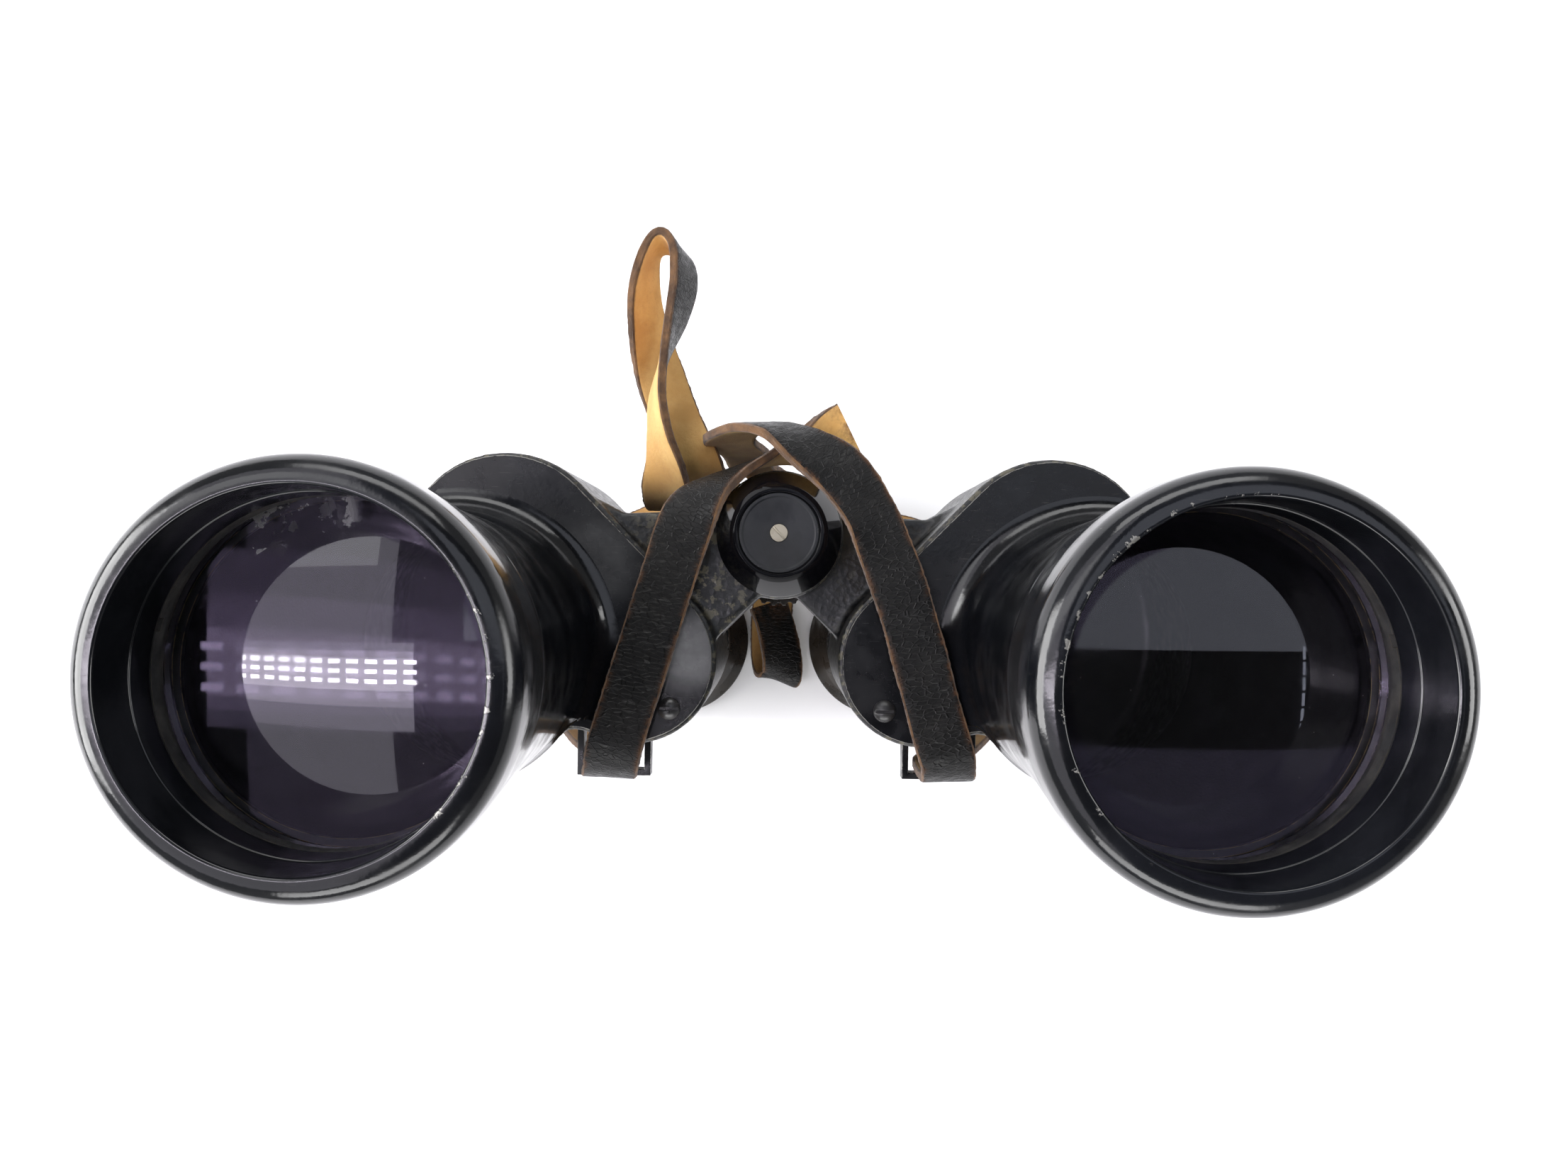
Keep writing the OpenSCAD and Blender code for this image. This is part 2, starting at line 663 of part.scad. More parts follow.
// Over the hinge, down behind it and to the end that lies folded between the eyecups
crest_route = [
  [[-3, 22, 92], [-0.1, -0.3, 0.95]],
  [[-7, 21.6, 87.5], [-0.5, -0.1, 0.85]],
  [[-8.4, 21.6, 81], [-0.85, 0, 0.5]],
  [[-7.8, 21.2, 72], [-0.97, 0, 0.15]],
  [[-7.8, 20, 60], [-1, 0, 0]],
  [[-7, 18.8, 46], [-1, 0, 0]],
  [[-4.6, 18.8, 32], [-1, 0, 0]],
  [[-2.4, 18, 18], [-1, 0, 0]],
  [[-1, 15, 8.5], [-1, 0, 0]],
  [[0, 9, 4.6], [-1, 0, 0]],
  [[0, 0, 3], [-1, 0, 0]],
  [[-1.2, -10, 1.6], [-1, 0, 0]],
  [[-2.2, -21, 1.4], [-1, 0.05, 0]],
  [[-2, -30, 2], [-0.97, 0.2, 0]],
  [[-0.6, -34.8, 4.2], [-0.93, 0.35, 0]],
  [[1, -34.6, 7.2], [-0.93, 0.3, 0.15]],
  [[1, -29.5, 8.6], [-0.93, -0.05, 0.35]],
  [[-0.6, -22, 8], [-0.9, -0.2, 0.4]],
  [[-3, -15, 7.4], [-0.88, -0.25, 0.4]]
];

function unit(v) = v / norm(v);
function curve(a, b, c, d, t) =
  0.5 * (2 * b + (c - a) * t + (2 * a - 5 * b + 4 * c - d) * t * t + (3 * b - a - 3 * c + d) * t * t * t);
// The route's own points with one smooth point between each two
function refined(r) =
  let (n = len(r))
  [for (i = [0:2 * n - 2])
    let (
      k = floor(i / 2),
      a = r[max(k - 1, 0)],
      b = r[k],
      c = r[min(k + 1, n - 1)],
      d = r[min(k + 2, n - 1)],
      t = (i % 2) / 2
    )
    [curve(a[0], b[0], c[0], d[0], t), curve(a[1], b[1], c[1], d[1], t)]];
// Eight corners of the strap's section about a point of the route
function section(p, along, across) =
  let (
    w = unit(across - (across * along) * along),
    n = cross(along, w),
    hw = strap_w / 2,
    ht = strap_t / 2,
    cut = 0.3
  )
  [for (q = [[-1, -1], [1, -1], [1, 1], [-1, 1]])
    for (k = (q[0] * q[1] > 0) ? [0, 1] : [1, 0])
      p + w * q[0] * (hw - (k == 0 ? 0 : cut)) + n * q[1] * (ht - (k == 0 ? cut : 0))];

// Closed ribbon swept along a route
module ribbon(route) {
  r = refined(route);
  n = len(r);
  rings = [for (i = [0:n - 1])
    section(r[i][0], unit(r[min(i + 1, n - 1)][0] - r[max(i - 1, 0)][0]), r[i][1])];
  points = [for (ring_points = rings) each ring_points];
  sides = [for (i = [0:n - 2], j = [0:7], k = [0, 1])
    let (a = i * 8 + j, b = i * 8 + (j + 1) % 8)
    k == 0 ? [a, b, b + 8] : [a, b + 8, a + 8]];
  ends = [for (j = [1:6], k = [0, 1])
    let (m = (n - 1) * 8)
    k == 0 ? [0, j + 1, j] : [m, m + j, m + j + 1]];
  color([0.16, 0.13, 0.11]) translate([0, hinge_y, 0]) polyhedron(points, concat(sides, ends));
}

left_prism_housing();
right_prism_housing();
front_cover(-1);  // left_front_cover
front_cover(1);  // right_front_cover
rear_cover(-1);  // left_rear_cover
rear_cover(1);  // right_rear_cover
cover_screws(-1);  // left_cover_screws
cover_screws(1);  // right_cover_screws
front_prism(-1);  // left_front_prism
front_prism(1);  // right_front_prism
rear_prism(-1);  // left_rear_prism
rear_prism(1);  // right_rear_prism
prism_clips(-1);  // left_prism_clips
prism_clips(1);  // right_prism_clips
barrel(-1);  // left_barrel
barrel(1);  // right_barrel
hood(-1);  // left_hood
hood(1);  // right_hood
lens_cell(-1);  // left_lens_cell
lens_cell(1);  // right_lens_cell
objective_lens(-1);  // left_objective_lens
objective_lens(1);  // right_objective_lens
retaining_ring(-1);  // left_retaining_ring
retaining_ring(1);  // right_retaining_ring
strap_lug(-1);  // left_strap_lug
strap_lug(1);  // right_strap_lug
eyepiece_sleeve(-1);  // left_eyepiece_sleeve
eyepiece_sleeve(1);  // right_eyepiece_sleeve
carrier_tube(-1);  // left_carrier_tube
carrier_tube(1);  // right_carrier_tube
ocular_tube(-1);  // left_ocular_tube
ocular_tube(1);  // right_ocular_tube
eye_lens(-1);  // left_eye_lens
eye_lens(1);  // right_eye_lens
field_lens(-1);  // left_field_lens
field_lens(1);  // right_field_lens
field_stop(-1);  // left_field_stop
field_stop(1);  // right_field_stop
eyecup(-1);  // left_eyecup
eyecup(1);  // right_eyecup
left_collar();
diopter_ring();
left_bridge_arm();
right_bridge_arm();
focus_rod();
rod_end_screw();
focus_wheel();
wheel_washer();
hinge_axle();
hinge_nut();
hinge_cap();
hinge_cap_disc();
hinge_cap_screw();
ribbon(concat(tail_route, climb_route));  // strap_left
ribbon(loop_route);  // strap_loop
ribbon(crest_route);  // strap_crest
ribbon(right_route);  // strap_right
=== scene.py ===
"""Looks of a pair of old prism binoculars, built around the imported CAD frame. Metres, +Z up."""

import json
import math

import bmesh
import bpy
import numpy as np
from mathutils import Vector, noise
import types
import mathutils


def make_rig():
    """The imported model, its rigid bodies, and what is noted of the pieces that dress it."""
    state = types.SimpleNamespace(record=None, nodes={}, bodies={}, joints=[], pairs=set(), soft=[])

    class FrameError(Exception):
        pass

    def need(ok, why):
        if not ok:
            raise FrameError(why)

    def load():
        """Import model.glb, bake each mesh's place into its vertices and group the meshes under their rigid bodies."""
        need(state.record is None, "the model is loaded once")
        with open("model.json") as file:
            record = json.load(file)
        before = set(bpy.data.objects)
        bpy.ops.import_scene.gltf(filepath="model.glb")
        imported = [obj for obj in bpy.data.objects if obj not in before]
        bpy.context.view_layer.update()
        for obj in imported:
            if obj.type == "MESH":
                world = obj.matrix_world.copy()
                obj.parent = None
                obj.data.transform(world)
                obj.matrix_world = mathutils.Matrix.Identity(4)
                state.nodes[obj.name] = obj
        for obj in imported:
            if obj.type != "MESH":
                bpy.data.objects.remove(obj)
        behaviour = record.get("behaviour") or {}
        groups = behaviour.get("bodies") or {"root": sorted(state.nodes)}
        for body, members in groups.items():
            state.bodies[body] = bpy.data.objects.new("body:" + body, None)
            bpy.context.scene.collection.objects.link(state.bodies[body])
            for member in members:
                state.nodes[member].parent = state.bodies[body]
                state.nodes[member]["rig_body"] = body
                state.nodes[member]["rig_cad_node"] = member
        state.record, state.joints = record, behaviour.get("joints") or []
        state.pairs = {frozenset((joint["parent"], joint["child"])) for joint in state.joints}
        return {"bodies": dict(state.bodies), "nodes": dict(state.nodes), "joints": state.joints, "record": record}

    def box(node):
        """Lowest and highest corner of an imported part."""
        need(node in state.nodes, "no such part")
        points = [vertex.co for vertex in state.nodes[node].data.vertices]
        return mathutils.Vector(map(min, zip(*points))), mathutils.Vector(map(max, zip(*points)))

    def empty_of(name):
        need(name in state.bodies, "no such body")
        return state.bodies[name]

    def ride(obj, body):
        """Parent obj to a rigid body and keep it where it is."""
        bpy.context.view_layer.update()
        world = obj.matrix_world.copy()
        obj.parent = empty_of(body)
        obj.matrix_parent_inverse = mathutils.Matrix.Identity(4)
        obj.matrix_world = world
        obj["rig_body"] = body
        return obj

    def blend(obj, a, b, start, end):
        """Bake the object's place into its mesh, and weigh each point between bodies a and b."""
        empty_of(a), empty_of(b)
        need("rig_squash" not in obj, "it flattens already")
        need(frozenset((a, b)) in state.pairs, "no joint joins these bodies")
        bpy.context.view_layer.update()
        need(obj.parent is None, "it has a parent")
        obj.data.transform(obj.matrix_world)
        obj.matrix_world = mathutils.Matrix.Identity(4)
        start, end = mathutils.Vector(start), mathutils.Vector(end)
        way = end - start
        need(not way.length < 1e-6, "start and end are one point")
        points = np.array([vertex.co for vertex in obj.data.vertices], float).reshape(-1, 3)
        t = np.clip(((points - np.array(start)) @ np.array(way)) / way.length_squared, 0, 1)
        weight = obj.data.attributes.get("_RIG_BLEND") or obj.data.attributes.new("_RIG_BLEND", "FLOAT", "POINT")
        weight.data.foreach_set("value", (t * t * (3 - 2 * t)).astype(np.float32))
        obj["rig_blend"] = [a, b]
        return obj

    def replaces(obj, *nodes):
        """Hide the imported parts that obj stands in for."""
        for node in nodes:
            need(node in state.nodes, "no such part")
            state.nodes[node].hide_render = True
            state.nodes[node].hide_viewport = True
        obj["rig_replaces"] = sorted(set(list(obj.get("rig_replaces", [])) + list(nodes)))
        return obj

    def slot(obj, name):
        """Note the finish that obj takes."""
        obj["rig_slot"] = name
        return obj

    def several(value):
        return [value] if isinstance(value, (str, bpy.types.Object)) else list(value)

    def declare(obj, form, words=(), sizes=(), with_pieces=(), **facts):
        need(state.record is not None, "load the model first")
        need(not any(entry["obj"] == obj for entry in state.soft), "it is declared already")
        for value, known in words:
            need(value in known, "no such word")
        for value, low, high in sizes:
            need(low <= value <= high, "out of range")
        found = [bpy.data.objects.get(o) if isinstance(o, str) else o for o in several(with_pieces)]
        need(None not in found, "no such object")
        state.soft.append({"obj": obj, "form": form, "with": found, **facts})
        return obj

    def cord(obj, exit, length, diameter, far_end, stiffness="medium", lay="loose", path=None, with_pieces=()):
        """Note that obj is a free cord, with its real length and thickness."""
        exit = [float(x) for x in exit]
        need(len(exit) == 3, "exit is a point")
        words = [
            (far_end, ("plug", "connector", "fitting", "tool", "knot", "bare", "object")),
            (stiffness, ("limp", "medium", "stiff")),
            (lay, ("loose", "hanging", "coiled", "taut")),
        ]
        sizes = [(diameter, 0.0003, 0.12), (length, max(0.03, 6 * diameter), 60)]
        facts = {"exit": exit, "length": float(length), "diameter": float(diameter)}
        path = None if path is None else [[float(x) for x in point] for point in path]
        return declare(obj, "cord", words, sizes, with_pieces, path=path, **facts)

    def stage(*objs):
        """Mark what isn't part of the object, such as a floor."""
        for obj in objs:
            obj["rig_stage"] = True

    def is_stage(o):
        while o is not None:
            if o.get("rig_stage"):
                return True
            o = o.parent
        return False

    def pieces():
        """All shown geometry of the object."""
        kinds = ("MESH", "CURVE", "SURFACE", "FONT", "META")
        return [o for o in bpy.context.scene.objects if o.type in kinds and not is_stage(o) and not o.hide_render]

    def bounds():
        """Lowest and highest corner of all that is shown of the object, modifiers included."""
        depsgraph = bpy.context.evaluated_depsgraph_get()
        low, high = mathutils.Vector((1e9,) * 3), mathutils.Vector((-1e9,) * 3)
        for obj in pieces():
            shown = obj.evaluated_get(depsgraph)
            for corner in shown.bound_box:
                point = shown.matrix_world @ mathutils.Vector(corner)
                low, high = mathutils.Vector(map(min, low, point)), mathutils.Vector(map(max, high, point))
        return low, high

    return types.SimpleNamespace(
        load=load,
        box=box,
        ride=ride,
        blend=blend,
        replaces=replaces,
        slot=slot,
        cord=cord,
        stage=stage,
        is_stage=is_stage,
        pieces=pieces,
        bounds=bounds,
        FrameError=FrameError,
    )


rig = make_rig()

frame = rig.load()
cad_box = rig.bounds()

MM = 0.001
SIDES = {"left": -1, "right": 1}


def centre(node):
    lo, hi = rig.box(node)
    return (lo + hi) / 2


def low(node):
    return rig.box(node)[0].z


def high(node):
    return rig.box(node)[1].z


def body_of(node):
    return frame["nodes"][node]["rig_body"]


HINGE = np.array(centre("hinge_cap").xy)
OBJECTIVE = np.array(centre("right_hood").xy) - HINGE
EYE = np.array(centre("right_eyecup").xy) - HINGE

# ------------------------------------------------------------------ camera
camera_data = bpy.data.cameras.new("camera")
camera_data.lens = 27
camera_data.sensor_width = 36
camera_data.shift_x = 0.0014
camera_data.shift_y = 0.0007
camera_data.clip_start = 0.01
camera = bpy.data.objects.new("camera", camera_data)
camera.location = (0.0007, 0.0081, 0.3305)
camera.rotation_euler = (0, 0, math.radians(0.77))
bpy.context.scene.collection.objects.link(camera)
bpy.context.scene.camera = camera


# ------------------------------------------------------------------ materials
class Paint:
    """A material whose nodes are added one short call at a time."""

    def __init__(self, name, **fixed):
        self.material = bpy.data.materials.new(name)
        self.material.use_nodes = True
        self.tree = self.material.node_tree
        self.shader = self.tree.nodes["Principled BSDF"]
        for socket, value in fixed.items():
            self.shader.inputs[socket.replace("_", " ")].default_value = value
        self.place = self.tree.nodes.new("ShaderNodeTexCoord").outputs["Object"]

    def link(self, value, socket):
        if isinstance(value, bpy.types.NodeSocket):
            self.tree.links.new(value, socket)
        else:
            socket.default_value = value

    def noise(self, scale, detail=3, rough=0.55, stretch=None, place=None):
        node = self.tree.nodes.new("ShaderNodeTexNoise")
        node.inputs["Scale"].default_value = scale
        node.inputs["Detail"].default_value = detail
        node.inputs["Roughness"].default_value = rough
        self.tree.links.new(self.stretched(place or self.place, stretch), node.inputs["Vector"])
        return node.outputs["Fac"]

    def cells(self, scale, feature="F1", stretch=None, place=None):
        node = self.tree.nodes.new("ShaderNodeTexVoronoi")
        node.feature = feature
        node.inputs["Scale"].default_value = scale
        self.tree.links.new(self.stretched(place or self.place, stretch), node.inputs["Vector"])
        return node.outputs["Distance"]

    def stretched(self, place, stretch):
        if stretch is None:
            return place
        node = self.tree.nodes.new("ShaderNodeMapping")
        node.inputs["Scale"].default_value = stretch
        self.tree.links.new(place, node.inputs["Vector"])
        return node.outputs["Vector"]

    def away(self, spot):
        node = self.tree.nodes.new("ShaderNodeVectorMath")
        node.operation = "DISTANCE"
        self.tree.links.new(self.place, node.inputs[0])
        node.inputs[1].default_value = spot
        return node.outputs["Value"]

    def mark(self, name):
        node = self.tree.nodes.new("ShaderNodeAttribute")
        node.attribute_name = name
        return node

    def steps(self, value, start, end, low=0.0, high=1.0):
        node = self.tree.nodes.new("ShaderNodeMapRange")
        node.interpolation_type = "SMOOTHSTEP"
        for key, number in (("From Min", start), ("From Max", end), ("To Min", low), ("To Max", high)):
            node.inputs[key].default_value = number
        self.link(value, node.inputs["Value"])
        return node.outputs["Result"]

    def math(self, kind, a, b):
        node = self.tree.nodes.new("ShaderNodeMath")
        node.operation = kind
        self.link(a, node.inputs[0])
        self.link(b, node.inputs[1])
        return node.outputs[0]

    def mix(self, share, a, b):
        node = self.tree.nodes.new("ShaderNodeMix")
        node.data_type = "RGBA"
        self.link(share, node.inputs["Factor"])
        for value, key in ((a, "A"), (b, "B")):
            socket = next(s for s in node.inputs if s.name == key and s.type == "RGBA")
            self.link((*value, 1.0) if isinstance(value, tuple) else value, socket)
        return next(s for s in node.outputs if s.type == "RGBA")

    def bump(self, height, distance, strength=1.0, under=None):
        node = self.tree.nodes.new("ShaderNodeBump")
        node.inputs["Strength"].default_value = strength
        node.inputs["Distance"].default_value = distance
        self.tree.links.new(height, node.inputs["Height"])
        if under is not None:
            self.tree.links.new(under, node.inputs["Normal"])
        return node.outputs["Normal"]

    def done(self, **sockets):
        for socket, value in sockets.items():
            self.link(value, self.shader.inputs[socket.replace("_", " ")])
        return self.material


def enamel(name, rough=0.2, dust=0.3, grain=0.02, wear=0.5, tint=(0.0025, 0.0028, 0.0036), shine=0.42,
           rubbed=()):
    """Stoved black enamel on a light alloy: dusty in patches, scratched, chipped to metal on its edges."""
    p = Paint(name, Specular_IOR_Level=shine)
    patches = p.noise(45, 4)
    paler = tuple(2.2 * c for c in tint)
    colour = p.mix(p.steps(patches, 0.35, 0.7), tint, paler)
    dusty_areas = p.steps(p.noise(60, 3), 0.45, 0.75)
    specks = p.math("MULTIPLY", p.steps(p.noise(1500, 3, 0.7), 0.62, 0.74), dusty_areas)
    scratches = p.steps(p.noise(260, 2, 0.5, stretch=(1.0, 14.0, 3.0)), 0.69, 0.72)
    # Lighter grey patches round the given spots: partly rubbed enamel, partly painted sheen
    for spot, reach, share in rubbed:
        rub_and_sheen = p.steps(p.away(spot), reach, 0.3 * reach, 0.0, share)
        rub_and_sheen = p.math("MULTIPLY", rub_and_sheen, p.steps(p.noise(170, 4, 0.6), 0.3, 0.7, 0.55, 1.0))
        colour = p.mix(rub_and_sheen, colour, (0.24, 0.24, 0.245))
    dusty = p.math("MULTIPLY", p.math("MAXIMUM", specks, p.math("MULTIPLY", scratches, 0.25)), dust)
    colour = p.mix(dusty, colour, (0.2, 0.19, 0.17))
    reach = p.math("MULTIPLY", p.mark("wear").outputs["Fac"], 0.3 * wear)
    chips = p.steps(p.math("ADD", p.noise(620, 6, 0.7), reach), 0.71, 0.75)
    chips = p.math("MULTIPLY", chips, p.steps(reach, 0.0, 0.02))
    colour = p.mix(chips, colour, (0.19, 0.185, 0.17))
    polish = p.steps(p.noise(150, 4), 0.3, 0.75, rough * 0.7, rough * 1.7)
    roughness = p.math("ADD", polish, p.math("MULTIPLY", dusty, 0.4))
    roughness = p.math("ADD", roughness, p.math("MULTIPLY", chips, 0.15))
    skin = p.bump(p.noise(900, 3), 0.0001, grain / 0.1)
    surface = p.bump(chips, -0.0001, 0.5, under=skin)
    return p.done(Base_Color=colour, Roughness=roughness, Metallic=p.math("MULTIPLY", chips, 0.6),
                  Normal=surface)


def crackle(name, height=0.00025):
    """Rough cast enamel, thick and wrinkled, with dull dusty hollows and edges rubbed to grey metal."""
    p = Paint(name, Specular_IOR_Level=0.5)
    wrinkles = p.noise(650, 4, 0.6)
    pits = p.cells(900)
    colour = p.mix(p.steps(p.noise(80, 4), 0.35, 0.7), (0.0035, 0.0038, 0.0045), (0.01, 0.0105, 0.011))
    dull_areas = p.steps(p.noise(30, 2), 0.4, 0.7, 0.0, 0.22)
    hollows = p.math("MULTIPLY", p.steps(wrinkles, 0.48, 0.38), dull_areas)
    colour = p.mix(hollows, colour, (0.16, 0.145, 0.11))
    chips = p.math("MULTIPLY", p.mark("wear").outputs["Fac"], p.steps(p.noise(480, 5, 0.65), 0.52, 0.58))
    chips = p.math("MINIMUM", chips, 1.0)
    colour = p.mix(chips, colour, (0.16, 0.145, 0.1))
    height_map = p.math("ADD", p.math("MULTIPLY", wrinkles, 0.7), p.math("MULTIPLY", pits, 0.5))
    roughness = p.steps(wrinkles, 0.3, 0.7, 0.5, 0.28)
    return p.done(Base_Color=colour, Roughness=roughness, Metallic=p.math("MULTIPLY", chips, 0.5),
                  Normal=p.bump(height_map, height, 0.55))


def metal(name, colour, rough, stain=(0.2, 0.16, 0.1), turned=1500):
    """Turned metal: fine rings along the axis, uneven tarnish and a few dark stains."""
    p = Paint(name, Metallic=1.0)
    rings = p.noise(turned, 2, 0.5, stretch=(0.05, 0.05, 1.0))
    tarnish = p.steps(p.noise(220, 5, 0.65), 0.45, 0.7)
    shade = p.mix(p.math("MULTIPLY", tarnish, 0.65), colour, stain)
    polish = p.steps(rings, 0.3, 0.7, rough * 0.75, rough * 1.25)
    roughness = p.math("ADD", polish, p.math("MULTIPLY", tarnish, 0.2))
    return p.done(Base_Color=shade, Roughness=roughness, Normal=p.bump(rings, 0.00004, 0.5))


def blackened(name, rough=0.42, edge=(0.45, 0.34, 0.16)):
    """Chemically blackened metal, rubbed bright along its edges."""
    p = Paint(name, Specular_IOR_Level=0.5)
    rubbed = p.math("MULTIPLY", p.mark("wear").outputs["Fac"], p.steps(p.noise(400, 5, 0.65), 0.4, 0.55))
    rubbed = p.math("MINIMUM", rubbed, 1.0)
    cloudy = p.steps(p.noise(180, 4), 0.35, 0.7)
    colour = p.mix(rubbed, p.mix(cloudy, (0.012, 0.012, 0.013), (0.032, 0.03, 0.028)), edge)
    roughness = p.steps(p.noise(300, 3), 0.3, 0.7, rough * 0.75, rough * 1.3)
    return p.done(Base_Color=colour, Roughness=roughness, Metallic=p.math("MULTIPLY", rubbed, 0.9),
                  Normal=p.bump(p.noise(1400, 2, 0.5, stretch=(0.2, 0.2, 1.0)), 0.00005, 0.4))


def glass(name, tint, coat, core=None, spoilt=(0, 0, 0)):
    """Old optical glass: a tinted coating with faint haze and specks of dust. Given a core, the reflections keep the
    coat's tint only on an outer ring round a pale middle: a painted reflection.
    """
    p = Paint(name, Transmission_Weight=1.0, IOR=1.52, Base_Color=(*tint, 1.0))
    dust = p.steps(p.noise(1500, 3, 0.7), 0.71, 0.78)
    smears = p.steps(p.noise(55, 4, 0.6, stretch=(1.0, 3.0, 1.0)), 0.45, 0.75)
    roughness = p.math("ADD", p.math("MULTIPLY", dust, 0.3), p.math("MULTIPLY", smears, 0.05))
    if core is None:
        return p.done(Roughness=roughness, Specular_Tint=(*coat, 1.0))
    # Painted reflection: inside a sharp circle the reflections are left pale, and outside it they take the coat's tint
    in_reflection_disc = p.mark("core").outputs["Fac"]
    tinted = p.mix(in_reflection_disc, coat, core)
    near_spot = p.steps(p.away(spoilt), 11 * MM, 7 * MM)
    blotch = p.math("MULTIPLY", p.steps(p.noise(300, 5, 0.65), 0.55, 0.6), near_spot)
    blotch = p.math("MULTIPLY", blotch, p.steps(in_reflection_disc, 0.5, 0.0, 0.0, 0.9))
    roughness = p.math("ADD", roughness, p.math("MULTIPLY", blotch, 0.4))
    p.link(p.steps(blotch, 0.0, 0.9, 1.0, 0.3), p.shader.inputs["Transmission Weight"])
    p.link(p.mix(blotch, tint, (0.16, 0.16, 0.15)), p.shader.inputs["Base Color"])
    return p.done(Roughness=p.math("ADD", roughness, 0.018), Specular_Tint=tinted)


def dull(name, colour=(0.01, 0.01, 0.011)):
    """Flocked matt black inside the tubes."""
    p = Paint(name, Roughness=0.85, Specular_IOR_Level=0.3)
    shade = p.mix(p.steps(p.noise(120, 4), 0.4, 0.7), colour, tuple(2.2 * c for c in colour))
    return p.done(Base_Color=shade, Normal=p.bump(p.noise(2500, 3), 0.0001, 0.6))


def bakelite(name):
    """Hard black moulding with a brown cast and hairline scratches."""
    p = Paint(name, Specular_IOR_Level=0.5)
    shade = p.mix(p.steps(p.noise(90, 4), 0.35, 0.7), (0.011, 0.01, 0.009), (0.028, 0.022, 0.017))
    scratches = p.steps(p.noise(300, 2, 0.5, stretch=(12.0, 1.0, 1.0)), 0.68, 0.71)
    worn = p.math("MULTIPLY", p.mark("wear").outputs["Fac"], p.steps(p.noise(300, 5), 0.45, 0.6))
    shade = p.mix(p.math("MULTIPLY", p.math("MINIMUM", worn, 1.0), 0.7), shade, (0.1, 0.085, 0.065))
    polish = p.steps(p.noise(200, 3), 0.3, 0.7, 0.2, 0.4)
    roughness = p.math("ADD", polish, p.math("MULTIPLY", scratches, 0.25))
    return p.done(Base_Color=shade, Roughness=roughness, Normal=p.bump(scratches, -0.00003, 0.6))


def leather_grain(name):
    """Black top side of bridle leather: fine cross creases, pores, grey rub marks."""
    p = Paint(name, Specular_IOR_Level=0.2)
    p.place = p.mark("along").outputs["Vector"]
    creases = p.noise(520, 4, 0.6, stretch=(2.4, 0.8, 1.0))
    cracks = p.cells(620, "DISTANCE_TO_EDGE", stretch=(2.0, 0.9, 1.0))
    pores = p.cells(1800)
    creased = p.steps(p.noise(28, 2), 0.38, 0.62, 0.12, 1.0)
    shade = p.mix(p.steps(p.noise(70, 4), 0.35, 0.7), (0.0035, 0.0034, 0.0034), (0.0095, 0.009, 0.0085))
    rubbed = p.math("MULTIPLY", p.steps(creases, 0.56, 0.7), creased)
    shade = p.mix(p.math("MULTIPLY", rubbed, 0.3), shade, (0.045, 0.042, 0.037))
    brown = p.math("MULTIPLY", p.mark("rim").outputs["Fac"], p.steps(p.noise(350, 4, 0.7), 0.42, 0.6))
    shade = p.mix(brown, shade, (0.09, 0.04, 0.017))
    network = p.math("MULTIPLY", p.steps(cracks, 0.0, 0.12), 0.35)
    height = p.math("ADD", p.math("MULTIPLY", creases, creased), network)
    fine = p.bump(pores, 0.00008, 0.35)
    roughness = p.math("ADD", p.steps(creases, 0.35, 0.65, 0.52, 0.33), p.math("MULTIPLY", brown, 0.3))
    return p.done(Base_Color=shade, Roughness=roughness, Normal=p.bump(height, 0.00032, 0.9, under=fine))


def leather_flesh(name):
    """Suede side: golden tan nap, darker and dirtier towards its edges, and darkened low down under the body by
    painted shade.
    """
    p = Paint(name, Roughness=0.95, Specular_IOR_Level=0.2, Sheen_Weight=0.15, Sheen_Roughness=0.6)
    p.place = p.mark("along").outputs["Vector"]
    nap = p.noise(1400, 5, 0.75)
    shade = p.mix(p.steps(p.noise(110, 4, 0.6), 0.35, 0.68), (0.6, 0.34, 0.1), (0.76, 0.48, 0.165))
    shade = p.mix(p.steps(nap, 0.5, 0.75, 0.0, 0.5), shade, (0.5, 0.27, 0.1))
    edge_dirt_and_shade = p.math("MULTIPLY", p.mark("rim").outputs["Fac"], p.steps(p.noise(260, 4, 0.7), 0.3, 0.65))
    # Painted shade on the low parts is joined to the real dirt at the edges
    edge_dirt_and_shade = p.math("MAXIMUM", edge_dirt_and_shade, p.math("MULTIPLY", p.mark("soiled").outputs["Fac"], 0.8))
    shade = p.mix(edge_dirt_and_shade, shade, (0.13, 0.06, 0.025))
    return p.done(Base_Color=shade, Normal=p.bump(nap, 0.00025, 0.7))


def leather_edge(name):
    """Raw cut edge: loose brown fibres over a paler core."""
    p = Paint(name, Roughness=0.95, Specular_IOR_Level=0.2, Sheen_Weight=0.2, Sheen_Roughness=0.6)
    p.place = p.mark("along").outputs["Vector"]
    fibres = p.noise(1300, 5, 0.75, stretch=(0.6, 1.6, 1.6))
    shade = p.mix(p.steps(p.noise(240, 4, 0.65), 0.35, 0.68), (0.05, 0.024, 0.01), (0.14, 0.07, 0.027))
    shade = p.mix(p.steps(fibres, 0.55, 0.75, 0.0, 0.6), shade, (0.05, 0.022, 0.012))
    return p.done(Base_Color=shade, Normal=p.bump(fibres, 0.0003, 0.9))


def spot(axis, side, across, up, node):
    """A point on a node's front face, in mm from one of the axes of a side."""
    return (HINGE[0] + side * axis[0] + across * MM, HINGE[1] + axis[1] + up * MM, high(node))
